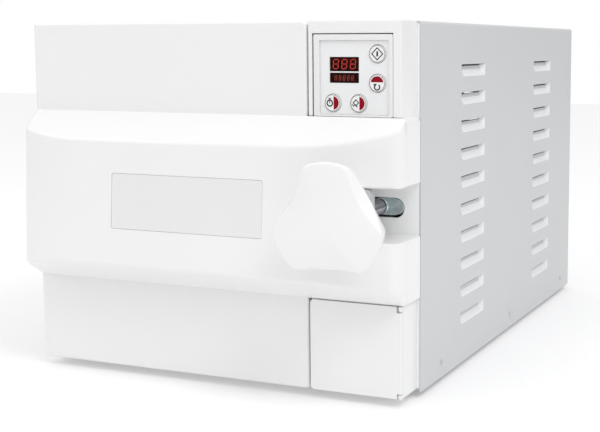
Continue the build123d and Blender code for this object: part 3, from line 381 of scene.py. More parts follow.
def link(rows, closed=False):
    """Faces between rows of points or their numbers.  A row is a ring, or one point that caps a ring."""
    faces = []
    for first, second in zip(rows, rows[1:] + (rows[:1] if closed else [])):
        size = max(len(first), len(second))
        for i in range(size):
            j = (i + 1) % size
            if len(first) == 1:
                faces.append((first[0], second[i], second[j]))
            elif len(second) == 1:
                faces.append((first[i], second[0], first[j]))
            else:
                faces.append((first[i], second[i], second[j], first[j]))
    return faces


def stack(name, layers):
    """A closed skin over layers of points of one length, its two ends flat faces."""
    size = len(layers[0])
    rows = [list(range(k * size, (k + 1) * size)) for k in range(len(layers))]
    ends = [tuple(rows[0]), tuple(reversed(rows[-1]))]
    return new_object(name, [point for layer in layers for point in layer], link(rows) + ends)


def prism(name, outline, y0, y1):
    """A closed outline of (x, z) points, extruded from y0 to y1."""
    return stack(name, [[(x, y, z) for x, z in outline] for y in (y0, y1)])


def strip(name, line, width, y0, y1, closed=False):
    """A flat stroke of the given width along (x, z) points, as thick as y0 to y1."""
    ends = line + [line[0]] if closed else line
    count = len(ends)
    points = []
    for index, (x, z) in enumerate(ends):
        before = ends[index - 1] if index else (ends[-2] if closed else ends[0])
        after = ends[index + 1] if index + 1 < count else (ends[1] if closed else ends[-1])
        dx, dz = after[0] - before[0], after[1] - before[1]
        size = math.hypot(dx, dz) or 1
        nx, nz = -dz / size * width / 2, dx / size * width / 2
        points += [(x + nx, y0, z + nz), (x - nx, y0, z - nz), (x - nx, y1, z - nz), (x + nx, y1, z + nz)]
    rows = [list(range(4 * index, 4 * index + 4)) for index in range(count)]
    faces = link(rows)
    if not closed:
        faces += [tuple(reversed(rows[0])), tuple(rows[-1])]
    return new_object(name, points, faces)


def arc(cx, cz, radius, start, finish, steps):
    """Points on an arc, angles in degrees."""
    return [
        (cx + radius * math.cos(math.radians(start + (finish - start) * i / steps)),
         cz + radius * math.sin(math.radians(start + (finish - start) * i / steps)))
        for i in range(steps + 1)
    ]


def round_rectangle(x0, x1, z0, z1, radius, steps=4):
    line = []
    for x, z, start in ((x1 - radius, z1 - radius, 0), (x0 + radius, z1 - radius, 90),
                        (x0 + radius, z0 + radius, 180), (x1 - radius, z0 + radius, 270)):
        line += arc(x, z, radius, start, start + 90, steps)
    return line


def rectangle_ring(x0, x1, z0, z1, radius, hole=False):
    """A rounded rectangle as a function of how far its edge is cut back."""
    def ring(inset):
        d = -inset if hole else inset
        return round_rectangle(x0 + d, x1 - d, z0 + d, z1 - d, max(0.05, radius - d), 5)
    return ring


def circle_ring(x, z, radius, steps=48):
    """A round hole whose edge is cut back by widening it."""
    return lambda inset: arc(x, z, radius + inset, 0, 360, steps)[:-1]


def slot_ring(x, z, long, wide, upright=False):
    """A slot with round ends, as a hole."""
    def ring(inset):
        r = wide / 2 + inset
        half = (long - wide) / 2
        steps = 8 if wide < 8 else 24
        if upright:
            return arc(x, z + half, r, 0, 180, steps) + arc(x, z - half, r, 180, 360, steps)
        return arc(x + half, z, r, -90, 90, steps) + arc(x - half, z, r, 90, 270, steps)
    return ring


def contains(loop, point):
    """Whether a point lies inside a closed loop of 2-D points."""
    inside = False
    for a, b in zip(loop, loop[1:] + loop[:1]):
        if (a.y > point.y) != (b.y > point.y):
            crossing = a.x + (b.x - a.x) * (point.y - a.y) / (b.y - a.y)
            inside ^= point.x < crossing
    return inside


def fill_face(work, loops):
    """Triangles over a flat face: the first loop of vertices is its outline, the others are holes."""
    corners = [vertex for loop in loops for vertex in loop]
    flat = [[Vector((vertex.co.x / MM, vertex.co.z / MM)) for vertex in loop] for loop in loops]
    edges, start = [], 0
    for loop in loops:
        edges += [(start + i, start + (i + 1) % len(loop)) for i in range(len(loop))]
        start += len(loop)
    found = delaunay_2d_cdt([point for loop in flat for point in loop], edges, [], 0, 1e-5)
    for triangle in found[2]:
        centre = sum((found[0][i] for i in triangle), Vector((0, 0))) / 3
        if contains(flat[0], centre) and not any(contains(hole, centre) for hole in flat[1:]):
            work.faces.new([corners[found[3][i][0]] for i in triangle])


def plate(name, rings, y_front, y_back, rim=0.2, steps=2):
    """A flat plate with holes: the first ring is its outline, the others its holes.  Its front edges
    are rounded by rim."""
    work = bmesh.new()
    fronts, backs = [], []
    for ring in rings:
        levels = [(rim * 0.5, y_back), (0.0, y_back - rim * 0.5), (0.0, y_front + rim)]
        for i in range(1, steps + 1):
            turn = math.radians(90 * i / steps)
            levels.append((rim - rim * math.cos(turn), y_front + rim - rim * math.sin(turn)))
        rows = [[work.verts.new(place(x, y, z)) for x, z in ring(inset)] for inset, y in levels]
        for face in link(rows):
            work.faces.new(face)
        backs.append(rows[0])
        fronts.append(rows[-1])
    fill_face(work, fronts)
    fill_face(work, backs)
    bmesh.ops.recalc_face_normals(work, faces=work.faces)
    return work_object(name, work)


def wheel(name, rings, cx, cz, closed=False, upright=False):
    """Rings of (radius, y) pairs round an axis along y, one pair for each step round it; a ring of one
    pair is a cap on the axis.  Upright swaps y and z."""
    points, rows = [], []
    for ring in rings:
        rows.append(list(range(len(points), len(points) + len(ring))))
        for i, (radius, level) in enumerate(ring):
            turn = 2 * math.pi * i / len(ring)
            u, w = cx + radius * math.cos(turn), cz + radius * math.sin(turn)
            points.append((u, w, level) if upright else (u, level, w))
    return new_object(name, points, link(rows, closed))


def lathe(name, profile, cx, cz, steps=96, closed=False, upright=False):
    """Turn (radius, y) points about an axis along y.  A closed profile makes a ring."""
    rings = [[pair] * (1 if pair[0] < 1e-6 else steps) for pair in profile]
    return wheel(name, rings, cx, cz, closed, upright)


def curve(start, corner, finish, steps):
    """Points on the arc that rounds a corner between two points, both ends included."""
    return [tuple((1 - t) ** 2 * start + 2 * t * (1 - t) * corner + t * t * finish)
            for t in (i / steps for i in range(steps + 1))]


def turn_profile(points, radius=0.6, steps=3):
    """Round the inner corners of a lathe profile."""
    done = [points[0]]
    for before, corner, after in zip(points, points[1:], points[2:]):
        a, b, c = Vector(before), Vector(corner), Vector(after)
        reach = min(radius, (a - b).length * 0.45, (c - b).length * 0.45)
        start = b + (a - b).normalized() * reach
        finish = b + (c - b).normalized() * reach
        done += curve(start, b, finish, steps)
    return done + [points[-1]]


make_camera()
make_studio()


# ---- casing: one folded sheet with pressed louvres ------------------------------------------------
CASE_LOW, CASE_HIGH = node_box("outer_casing")
CASE_MID_X = (CASE_LOW.x + CASE_HIGH.x) / 2
CASE_HALF = (CASE_HIGH.x - CASE_LOW.x) / 2
CASE_BEND = 3.0
SHEET = 1.5
LOUVRE_LONG = 79.0
LOUVRE_TALL = 13.0
LOUVRE_PRESSED = 4.4
LOUVRE_GAP = 1.7
LOUVRE_ROWS = 10
LOUVRE_PITCH = 29.9
LOUVRE_TOP = 321.5
LOUVRE_COLUMNS = (197.0, 472.0)
CELLS_LONG = 32
CELLS_TALL = 9


def louvre_depth(u, w):
    """How far the sheet is pressed in, u and w running 0 to 1 along and up one louvre: a steep step
    round the bottom and the ends, then a flap that leans in a little more up to the slit."""
    step = min(1.0, w / 0.46)
    rise = 0.86 * step * step * (3 - 2 * step) + 0.14 * w
    near = min(u, 1 - u) * LOUVRE_LONG
    reach = 6.5 + 3.5 * (1 - w) ** 2
    ends = min(1.0, near / reach)
    ends = ends * ends * (3 - 2 * ends)
    return LOUVRE_PRESSED * rise * ends


def casing_skin():
    """The outer face of the casing as points and faces: a sheet over both sides and the top."""
    points, faces, index = [], [], {}

    def put(x, y, z):
        key = (round(x, 4), round(y, 4), round(z, 4))
        if key not in index:
            index[key] = len(points)
            points.append((x, y, z))
        return index[key]

    y_lines = [CASE_LOW.y]
    for centre in LOUVRE_COLUMNS:
        y_lines += [centre - LOUVRE_LONG / 2, centre + LOUVRE_LONG / 2]
    y_lines.append(CASE_HIGH.y)
    z_lines = [CASE_LOW.z]
    for row in reversed(range(LOUVRE_ROWS)):
        top = LOUVRE_TOP - row * LOUVRE_PITCH
        z_lines += [top - LOUVRE_TALL, top]
    z_lines.append(CASE_HIGH.z - CASE_BEND)
    across = [-1 + 2 * i / 8 for i in range(9)]
    for side in (-1, 1):
        wall = CASE_MID_X + side * CASE_HALF
        for a, (y0, y1) in enumerate(zip(y_lines, y_lines[1:])):
            for b, (z0, z1) in enumerate(zip(z_lines, z_lines[1:])):
                if a in (1, 3) and b % 2 == 1:
                    columns, rows = CELLS_LONG, CELLS_TALL
                    grid = [[put(wall - side * louvre_depth(i / columns, j / rows),
                                 y0 + (y1 - y0) * i / columns, z0 + (z1 - z0) * j / rows)
                             for i in range(columns + 1)] for j in range(rows + 1)]
                    # The top edge of the flap stays a little under the slit's upper edge.
                    for i in range(1, columns):
                        u = i / columns
                        dip = LOUVRE_GAP * min(1.0, 6 * min(u, 1 - u))
                        x = wall - side * louvre_depth(u, 1.0)
                        grid[rows][i] = put(x, y0 + (y1 - y0) * u, z1 - dip)
                    for j in range(rows):
                        for i in range(columns):
                            faces.append((grid[j][i], grid[j][i + 1], grid[j + 1][i + 1], grid[j + 1][i]))
                    continue
                ring = [(y0, z0), (y1, z0), (y1, z1), (y0, z1)]
                # A plain cell takes every point that a louvre beside it has on the shared edge.
                full = []
                for (ya, za), (yb, zb) in zip(ring, ring[1:] + ring[:1]):
                    if za == zb and a in (1, 3) and za not in (z_lines[0], z_lines[-1]):
                        steps = CELLS_LONG if za == z1 and b % 2 == 0 else 1
                    elif ya == yb and b % 2 == 1 and ya not in (y_lines[0], y_lines[-1]):
                        steps = CELLS_TALL
                    else:
                        steps = 1
                    for s in range(steps):
                        full.append(put(wall, ya + (yb - ya) * s / steps, za + (zb - za) * s / steps))
                faces.append(tuple(full))
    left = CASE_MID_X - CASE_HALF
    right = CASE_MID_X + CASE_HALF
    bend = arc(right - CASE_BEND, CASE_HIGH.z - CASE_BEND, CASE_BEND, 0, 90, 6)
    flat = [(CASE_MID_X + f * (CASE_HALF - CASE_BEND), CASE_HIGH.z) for f in reversed(across)][1:-1]
    bend_left = arc(left + CASE_BEND, CASE_HIGH.z - CASE_BEND, CASE_BEND, 90, 180, 6)
    crown = bend + flat + bend_left
    for (xa, za), (xb, zb) in zip(crown, crown[1:]):
        for y0, y1 in zip(y_lines, y_lines[1:]):
            faces.append((put(xa, y0, za), put(xb, y0, zb), put(xb, y1, zb), put(xa, y1, za)))
    return points, faces


def gets_painted_highlight(point):
    """Whether a point of the casing lies on the step under a louvre or at its rear end, where a lighter
    paint is a painted highlight.
    """
    if abs(point.x - CASE_MID_X) > CASE_HALF - 0.02:
        return False
    w = ((point.z - LOUVRE_TOP) / LOUVRE_PITCH % 1.0 - 1.0) * LOUVRE_PITCH / LOUVRE_TALL + 1.0
    for centre in LOUVRE_COLUMNS:
        u = (point.y - centre) / LOUVRE_LONG + 0.5
        if 0 < u < 1 and 0 < w < 1:
            corner = (w < 0.16 and u > 0.96) or w < 0.04
            return (w < 0.5 and u > 0.06) or (u > 0.92 and not corner)
    return False


def make_casing():
    points, faces = casing_skin()
    mesh = bpy.data.meshes.new("outer_casing_piece")
    mesh.from_pydata([place(*p) for p in points], [], faces)
    obj = add_object("outer_casing_piece", mesh)
    work = bmesh.new()
    work.from_mesh(mesh)
    bmesh.ops.recalc_face_normals(work, faces=work.faces)
    bmesh.ops.delete(work, geom=[v for v in work.verts if not v.link_faces], context="VERTS")
    middle = place(CASE_MID_X, 300, 180)
    inward = sum(1 if f.normal.dot(f.calc_center_median() - middle) < 0 else -1 for f in work.faces)
    if inward > 0:
        bmesh.ops.reverse_faces(work, faces=work.faces)
    work.to_mesh(mesh)
    work.free()
    sheet = obj.modifiers.new("sheet", "SOLIDIFY")
    sheet.thickness = SHEET * MM
    sheet.offset = -1
    apply_modifiers(obj)
    own(obj, "housing", "casing_paint", ("outer_casing",), angle=35)
    # The second finish is the painted highlight on the louvres' steps and rear ends.
    obj.data.materials.append(MATERIALS["louvre_painted_highlight"])
    for face in obj.data.polygons:
        if gets_painted_highlight(local(face.center)):
            face.material_index = 1


make_casing()

# ---- door cover ---------------------------------------------------------------------------------
DOOR_WIDE = 327.8
DOOR_TALL = 365.0
DOOR_DEEP = 36.0
BAND_LOW = 93.0
BAND_HIGH = 273.0
BAND_END = 431.6
UPPER_SLOPE = 1.045
LOWER_SLOPE = 0.63
BAND_BACK = 3.5
# How far the band stands out, and the radii of its left and right bends, at its low and high edge.
LOW_BOW = (37.5, 250.0, 350.0)
HIGH_BOW = (24.6, 400.0, 460.0)
BOW_FROM = 75
BOW_TO = 320
BAND_CORNER = 12.0
WALL = 2.5
HINGE_HEIGHTS = (60.0, 306.0)
HINGE_HALF = 23.0
LATCH_X = 386.0
LATCH_Z = 181.5
NOTCH_LOW = 155.7
NOTCH_HIGH = 207.5
NOTCH_Z = (NOTCH_LOW + NOTCH_HIGH) / 2
NOTCH_R = (NOTCH_HIGH - NOTCH_LOW) / 2
NOTCH_STEPS = 36


def bow(x, proud, bend_left, bend_right):
    """How far the band stands forward of the fascia at x."""
    if x < BOW_FROM:
        return proud - (bend_left - math.sqrt(bend_left ** 2 - (BOW_FROM - x) ** 2))
    if x > BOW_TO:
        return proud - (bend_right - math.sqrt(bend_right ** 2 - (x - BOW_TO) ** 2))
    return proud


def band_plan(inset, proud, bend_left, bend_right):
    """Plan of the band at one height: up the left end, along the bowed front, back at the right."""
    low, high = inset, BAND_END - inset
    left_r, right_r = max(0.6, 3.5 - inset), max(1.5, BAND_CORNER - inset)

    def front(x):
        return -(bow(x, proud, bend_left, bend_right) - inset)

    line = [(low, BAND_BACK), (low, 0.0), (low, -4.0)]
    y_start = front(low + left_r)
    line.append((low, (y_start + left_r - 4.0) / 2))
    for i in range(5):
        turn = math.radians(180 + 90 * i / 4)
        line.append((low + left_r + left_r * math.cos(turn), y_start + left_r + left_r * math.sin(turn)))
    stops = [low + left_r + (BOW_FROM - low - left_r) * i / 9 for i in range(1, 10)]
    stops += [BOW_FROM + (BOW_TO - BOW_FROM) * i / 16 for i in range(1, 17)]
    x_turn = high - right_r
    stops += [BOW_TO + (x_turn - BOW_TO) * i / 14 for i in range(1, 15)]
    line += [(x, front(x)) for x in stops]
    y_turn = front(x_turn)
    lean = math.degrees(math.atan2(y_turn - front(x_turn - 0.5), 0.5))
    for i in range(1, 9):
        turn = math.radians(-90 + lean + (90 - lean) * i / 8)
        start = math.radians(-90 + lean)
        cx = x_turn - right_r * math.cos(start)
        cy = y_turn - right_r * math.sin(start)
        scale = (high - cx) / right_r
        line.append((cx + scale * right_r * math.cos(turn), cy + right_r * math.sin(turn)))
    y_end = line[-1][1]
    line += [(high, y_end * 0.6), (high, y_end * 0.25), (high, 0.0), (high, BAND_BACK)]
    return line


def band_rows(inset):
    """The band's outer surface, or a wall's thickness inside it, as rows of points."""
    low_plan = band_plan(inset, *LOW_BOW)
    high_plan = band_plan(inset, *HIGH_BOW)
    count = len(low_plan)
    tall = BAND_HIGH - BAND_LOW
    rise = inset * math.sqrt(1 + LOWER_SLOPE ** 2)
    fall = inset * math.sqrt(1 + UPPER_SLOPE ** 2)
    columns = []
    for k in range(count):
        (xa, ya), (xb, yb) = low_plan[k], high_plan[k]
        pa, pb = -ya, -yb

        def at(q):
            f = q / tall
            return (xa + (xb - xa) * f, ya + (yb - ya) * f)

        q_low = (rise + LOWER_SLOPE * pa) / (1 - LOWER_SLOPE * (pb - pa) / tall) if pa > 0 else rise
        q_high = tall - fall - UPPER_SLOPE * pb if pb > 0 else tall - fall + 5 / 3.5 * max(pb, -3.5)
        if pb > 0:
            q_high = (tall - fall - UPPER_SLOPE * pa) / (1 + UPPER_SLOPE * (pb - pa) / tall)
        share = k / (count - 1)
        x_back = inset + (BAND_END - 2 * inset) * share
        corner_low = (*at(q_low), BAND_LOW + q_low)
        corner_high = (*at(q_high), BAND_LOW + q_high)
        back_low = (x_back, 0.0 if ya < 0 else ya, BAND_LOW + rise)
        back_high = (x_back, 0.0 if ya < 0 else ya, BAND_HIGH - fall + (0 if ya <= 0 else -5 * ya / 3.5))
        column = [(x_back, BAND_BACK, BAND_LOW + rise), back_low]
        cl, ch = Vector(corner_low), Vector(corner_high)
        bl, bh = Vector(back_low), Vector(back_high)
        reach = min(4.5, 0.45 * (bl - cl).length)
        up = (ch - cl).normalized()
        start = cl + (bl - cl).normalized() * reach if reach > 1e-4 else cl
        finish = cl + up * (4.5 if reach > 1e-4 else 0.0)
        column += curve(start, cl, finish, 5)
        reach_up = min(4.0, 0.45 * (bh - ch).length)
        top = ch - up * (4.0 if reach_up > 1e-4 else 0.0)
        for f in (0.08, 0.2, 0.35, 0.5, 0.65, 0.8, 0.92):
            column.append(tuple(finish + (top - finish) * f))
        finish = ch + (bh - ch).normalized() * reach_up if reach_up > 1e-4 else ch
        column += curve(top, ch, finish, 5)
        column += [back_high, (x_back, BAND_BACK, BAND_HIGH - fall - 5)]
        columns.append(column)
    return columns


def band_face(x, z, corner=True):
    """Depth of the band's front face at a point, with or without its rounded right corner."""
    f = (z - BAND_LOW) / (BAND_HIGH - BAND_LOW)
    y = -((1 - f) * bow(x, *LOW_BOW) + f * bow(x, *HIGH_BOW))
    over = x - (BAND_END - BAND_CORNER)
    if corner and over > 0:
        y += BAND_CORNER - math.sqrt(max(0.0, BAND_CORNER ** 2 - over * over)) + over * 0.2
    return y


def notch_line(offset, end):
    """The notch's outline, open to the right, moved outwards by offset."""
    radius = NOTCH_R + offset
    stops = [(end - LATCH_X) * i / NOTCH_STEPS for i in range(NOTCH_STEPS)]
    line = [(end - x, NOTCH_Z + radius) for x in stops]
    line += arc(LATCH_X, NOTCH_Z, radius, 90, 270, 24)
    line += [(LATCH_X + x, NOTCH_Z - radius) for x in stops[1:] + [end - LATCH_X]]
    return line


def notch_cutter():
    """A slot whose mouth flares into a rounded lip along the band's curved face."""
    lip = 2.6
    levels = []
    for turn in (86, 70, 54, 36, 18, 0):
        a = math.radians(turn)
        levels.append((lip - lip * math.cos(a), lip - lip * math.sin(a)))
    levels.insert(0, (levels[0][0], -14.0))
    end = BAND_END + 12
    layers = [[(x, band_face(x, z, False) + depth, z) for x, z in notch_line(flare, end)]
              for flare, depth in levels]
    layers.append([(x, BAND_BACK + 6, z) for x, z in notch_line(0.0, end)])
    size = len(layers[0])
    rows = [list(range(k * size, (k + 1) * size)) for k in range(len(layers))]
    points = [point for layer in layers for point in layer]
    faces = link(rows)
    half = size // 2
    for row, flip in ((rows[0], False), (rows[-1], True)):
        for i in range(half):
            quad = [row[i], row[i + 1], row[size - 2 - i], row[size - 1 - i]]
            if len(set(quad)) >= 3:
                faces.append(tuple(quad if flip else reversed(quad)))
    return new_object("notch_cutter", points, faces)


def notch_liner():
    """The moulded wall round the notch, from the band's face back over the column."""
    end = BAND_END - 0.4
    points, faces, rows = [], [], []
    for offset, front in ((-0.05, True), (WALL, True), (WALL, False), (-0.05, False)):
        row = []
        for x, z in notch_line(offset, end):
            row.append(len(points))
            # Round the band's corner the liner starts nearer the face, so that no gap opens there.
            lead = 2.4 - 2.1 * min(1.0, max(0.0, (x - BAND_END + BAND_CORNER) / 4.0))
            y = min(band_face(x, z) + lead, BAND_BACK - 1) if front else BAND_BACK
            points.append((x, y, z))
        rows.append(row)
    size = len(rows[0])
    for first, second in zip(rows, rows[1:] + rows[:1]):
        for i in range(size - 1):
            faces.append((first[i], first[i + 1], second[i + 1], second[i]))
    faces.append(tuple(row[0] for row in rows))
    faces.append(tuple(row[-1] for row in reversed(rows)))
    return new_object("notch_liner", points, faces)


def make_band():
    """The band as a shell: its outer and inner surfaces, joined all round their edges."""
    outer, inner = band_rows(0.02), band_rows(WALL)
    points = [point for column in outer + inner for point in column]
    rows = len(outer[0])
    total = len(outer) * rows
    faces = []
    for k in range(len(outer) - 1):
        for j in range(rows - 1):
            a = k * rows + j
            b = total + a
            faces += [(a, a + rows, a + rows + 1, a + 1), (b, b + 1, b + rows + 1, b + rows)]
        for a in (k * rows, (k + 1) * rows - 1):
            faces.append((a, a + rows, total + a + rows, total + a))
    for k in (0, len(outer) - 1):
        for a in range(k * rows, (k + 1) * rows - 1):
            faces.append((a, a + 1, total + a + 1, total + a))
    return new_object("band", points, faces)


def open_tray(name, outline_of, y_back, y_front, radius, wall, steps=4):
    """A moulded tray lying on its back: a front face with a rounded rim, side walls and an open back.
    outline_of(inset) gives its (x, z) outline."""
    levels = [(wall, y_front + wall), (wall, y_back), (0.0, y_back)]
    for i in range(steps + 1):
        turn = math.radians(90 * i / steps)
        levels.append((radius - radius * math.cos(turn), y_front + radius - radius * math.sin(turn)))
    return stack(name, [[(x, y, z) for x, z in outline_of(inset)] for inset, y in levels])


def door_outline(inset):
    """The door's panel: small corners on the left, larger ones on the right."""
    x0, x1, z0, z1 = inset, DOOR_WIDE - inset, inset, DOOR_TALL - inset
    big, small = max(0.5, 4.5 - inset * 0.6), max(0.3, 2.0 - inset * 0.6)
    line = []
    for x, z, r, start in ((x1 - big, z1 - big, big, 0), (x0 + small, z1 - small, small, 90),
                           (x0 + small, z0 + small, small, 180), (x1 - big, z0 + big, big, 270)):
        line += arc(x, z, r, start, start + 90, 5)
    return line


BADGE_X = 206.2
BADGE_Z = 183.0
BADGE_WIDE = 176.0
BADGE_TALL = 56.6
LEAN = (LOW_BOW[0] - HIGH_BOW[0]) / (BAND_HIGH - BAND_LOW)


def badge_point(u, depth, w):
    """A point on the badge's own leaning plane: u across, w up, depth back from the band's face."""
    cosine = 1 / math.sqrt(1 + LEAN * LEAN)
    y = -LOW_BOW[0] + LEAN * (BADGE_Z - BAND_LOW)
    return (BADGE_X + u, y + (w * LEAN + depth) * cosine, BADGE_Z + (w - depth * LEAN) * cosine)


def badge_prism(name, wide, tall, radius, front, back, rim=0.0):
    """A plate lying in the badge's plane, its front edge softened by rim."""
    outline = round_rectangle(-wide / 2, wide / 2, -tall / 2, tall / 2, radius, 5)
    small = round_rectangle(-wide / 2 + rim, wide / 2 - rim, -tall / 2 + rim, tall / 2 - rim, radius, 5)
    layers = [(outline, back), (outline, front + rim)] + ([(small, front)] if rim else [])
    return stack(name, [[badge_point(u, depth, w) for u, w in ring] for ring, depth in layers])


def make_door_cover():
    band = make_band()
    cut(band, notch_cutter())
    cut(band, badge_prism("badge_cutter", BADGE_WIDE + 0.6, BADGE_TALL + 0.6, 2.0, -3.0, 1.0))
    panel = open_tray("panel", door_outline, DOOR_DEEP, 0.0, 2.6, WALL)
    for z in HINGE_HEIGHTS:
        opening = [(x, z + end) for x, end in ((-2, -HINGE_HALF), (WALL + 1.5, -HINGE_HALF),
                                               (WALL + 1.5, HINGE_HALF), (-2, HINGE_HALF))]
        cut(panel, prism("cutter", opening, 18, DOOR_DEEP + 1))
    cover = join("door_cover_piece", [panel, band, notch_liner()])
    return own(cover, "door", "cover_white", ("door_cover",), angle=32)


make_door_cover()
own(badge_prism("label_plate_piece", BADGE_WIDE, BADGE_TALL, 1.7, 0.2, 0.9, 0.25), "door",
    "badge_grey", ("label_plate",))


# ---- latch --------------------------------------------------------------------------------------
KNOB_R = 55.8
LOBES = (90.0, 210.0, 330.0)
LOBE_HALF = 22.5
KNOB_TURN = 1.5


def knob_shape(turns):
    """Outline radius and how flat the outline is, at each of that many angles, corners softened."""
    radii, flats = [], []
    chord = KNOB_R * math.cos(math.radians(60 - LOBE_HALF))
    for i in range(turns):
        angle = 360.0 * i / turns - KNOB_TURN
        off = min(abs((angle - lobe + 180) % 360 - 180) for lobe in LOBES)
        from_flat = 60 - off
        if off <= LOBE_HALF:
            radii.append(KNOB_R)
            flats.append(0.0)
        else:
            radii.append(chord / math.cos(math.radians(from_flat)))
            flats.append(math.cos(math.radians(from_flat / (60 - LOBE_HALF) * 90)))
    reach = max(1, round(turns * 4.0 / 360))
    weights = [math.exp(-0.5 * (2.0 * k / reach) ** 2) for k in range(-reach, reach + 1)]
    scale = sum(weights)

    def smooth(values):
        return [sum(w * values[(i + k) % turns] for w, k in zip(weights, range(-reach, reach + 1))) / scale
                for i in range(turns)]

    return smooth(radii), smooth(flats)


def make_knob():
    """A pillowy three-lobed handwheel with a round hub behind it and a bore for its insert."""
    turns = 240
    radii, flats = knob_shape(turns)
    bore, bore_end, back = 11.2, -60.0, -20.4
    rings = [[(0.0, bore_end)], [(bore, bore_end)] * turns]
    for pair in ((bore, back), (22.6, back), (23.6, -21.2), (23.9, -22.4), (23.9, -50.0), (24.6, -52.4),
                 (27.0, -53.9)):
        rings.append([pair] * turns)

    def ring(radius_of, depth_of):
        rings.append([(radius_of(i), depth_of(i)) for i in range(turns)])

    # Behind its widest line the grip tapers in to the hub; the line runs deeper along each flat.
    wide = [-76.0 + 9.5 * flats[i] for i in range(turns)]
    ring(lambda i: radii[i] * 0.70, lambda i: -54.4)
    ring(lambda i: radii[i] * 0.84, lambda i: -56.6)
    ring(lambda i: radii[i] * 0.93, lambda i: -60.0 + 1.2 * flats[i])
    ring(lambda i: radii[i] * 0.98, lambda i: (-60.0 + 1.2 * flats[i]) * 0.4 + wide[i] * 0.6)
    ring(lambda i: radii[i] - 0.1, lambda i: wide[i] + 0.8)
    ring(lambda i: radii[i], lambda i: wide[i])
    rim = [-78.2 + 1.0 * flats[i] for i in range(turns)]
    face = [radii[i] - 0.5 - 4.6 * flats[i] for i in range(turns)]
    for f in (0.25, 0.5, 0.75):
        ring(lambda i: radii[i] + (face[i] - radii[i]) * f ** 0.8,
             lambda i: wide[i] + (rim[i] - wide[i]) * f)
    ring(lambda i: face[i], lambda i: rim[i])
    for degrees in (25, 50, 72):
        a = math.radians(degrees)
        ring(lambda i: face[i] - 1.8 * (1 - math.cos(a)), lambda i: rim[i] - 1.5 * math.sin(a))
    for f in (0.95, 0.88, 0.78, 0.65, 0.5, 0.35, 0.2, 0.08):
        ring(lambda i: (face[i] - 1.8) * f,
             lambda i: rim[i] - 1.55 + (-83.9 - rim[i] + 1.55) * (1 - f * f))
    rings.append([(0.0, -83.95)])
    knob = wheel("latch_knob_piece", rings, LATCH_X, LATCH_Z)
    return own(knob, "latch", "knob_white", ("latch_knob",), angle=50)


def make_spindle():
    """A threaded rod: a real helical thread between two plain ends."""
    radius, depth, pitch, turns = 7.95, 0.95, 2.5, 40
    y0, y1 = -63.5, 45.8
    thread_from, thread_to = -19.0, 43.5
    steps = int((thread_to - thread_from) / pitch * 8)

    def thread(s):
        y = thread_from + (thread_to - thread_from) * s / steps
        ends = min(1.0, s / 6, (steps - s) / 6)
        ring = []
        for i in range(turns):
            phase = ((y - thread_from) / pitch - i / turns) % 1.0
            ring.append((radius - depth * (1 - abs(2 * phase - 1)) ** 0.8 * ends, y))
        return ring

    front = ((radius - 0.8, y0), (radius, y0 + 0.8), (radius, thread_from))
    rear = ((radius, thread_to), (radius, y1 - 1.0), (radius - 1.0, y1))
    rings = [[(0.0, y0)]] + [[pair] * turns for pair in front]
    rings += [thread(s) for s in range(1, steps)]
    rings += [[pair] * turns for pair in rear] + [[(0.0, y1)]]
    rod = wheel("latch_spindle_piece", rings, LATCH_X, LATCH_Z)
    return own(rod, "latch", "dark_steel", ("latch_spindle",), angle=40)


def make_dog():
    """The locking dog: a forged bar with a faceted nose and a collar round the spindle."""
    low, high = node_box("latch_dog")
    r = (high.z - low.z) / 2
    nose = high.x - r
    outline = arc(LATCH_X, LATCH_Z, r, 90, 270, 12)
    facets = [(nose - 1, r), (nose + r * 0.55, r * 0.80), (nose + r * 0.97, r * 0.30)]
    outline += [(x, LATCH_Z - half) for x, half in facets]
    outline += [(x, LATCH_Z + half) for x, half in reversed(facets)]
    bar = prism("bar", outline, low.y + 1.0, high.y)
    bevel_edges(bar.data, 1.2, 20)
    profile = [(0, low.y), (7.2, low.y), (8.1, low.y + 0.6), (8.4, low.y + 2.0), (8.4, high.y - 1),
               (7.8, high.y - 0.02), (0, high.y - 0.02)]
    collar = lathe("collar", profile, LATCH_X, LATCH_Z, 64)
    return own(join("latch_dog_piece", [bar, collar]), "latch", "dog_steel", ("latch_dog",),
               angle=24)


make_knob()
make_spindle()
make_dog()
INSERT = [(8.05, -20.35), (10.9, -20.35), (10.9, -65.8), (8.05, -65.8)]
own(lathe("knob_insert_piece", turn_profile(INSERT, 0.5), LATCH_X, LATCH_Z, 48, closed=True), "latch",
    "brass_fitting", ("knob_insert",))
BUSHING = [(8.1, -12), (8.1, -19.95), (10.95, -19.95), (10.95, -12.0), (13.95, -12.0), (13.95, -8.05),
           (8.1, -8.05), (8.1, -10)]
own(lathe("latch_bushing_piece", turn_profile(BUSHING, 0.6), LATCH_X, LATCH_Z, 64, closed=True), "door",
    "brass_fitting", ("latch_bushing",))

# ---- pressure door and chamber ------------------------------------------------------------------
CHAMBER_X = 165.0
CHAMBER_Z = 183.0


def make_chamber():
    end = local((0, 0.190, 0)).y
    bore, shell, dish = 125.0, 3.0, 36.0
    big = (bore ** 2 + dish ** 2) / (2 * dish)

    def head(wall):
        """The dished end, its centre set so that the bore's own end is dish deep."""
        radii = [(bore + wall) * (1 - i / 12) for i in range(13)]
        return [(r, end + math.sqrt((big + wall) ** 2 - r ** 2) - (big - dish)) for r in radii]

    inner, outer = head(0.0), head(shell)
    flange = turn_profile([(128.0, 60.0), (128.0, 41.0), (146.0, 41.0), (146.0, 38.5), (125.0, 38.5),
                           (125.0, 60.0)], 0.9)
    profile = list(reversed(outer)) + flange + inner
    piece = lathe("chamber_piece", profile, CHAMBER_X, CHAMBER_Z, 128)
    return own(piece, "housing", "chamber_steel", ("chamber",), angle=40)


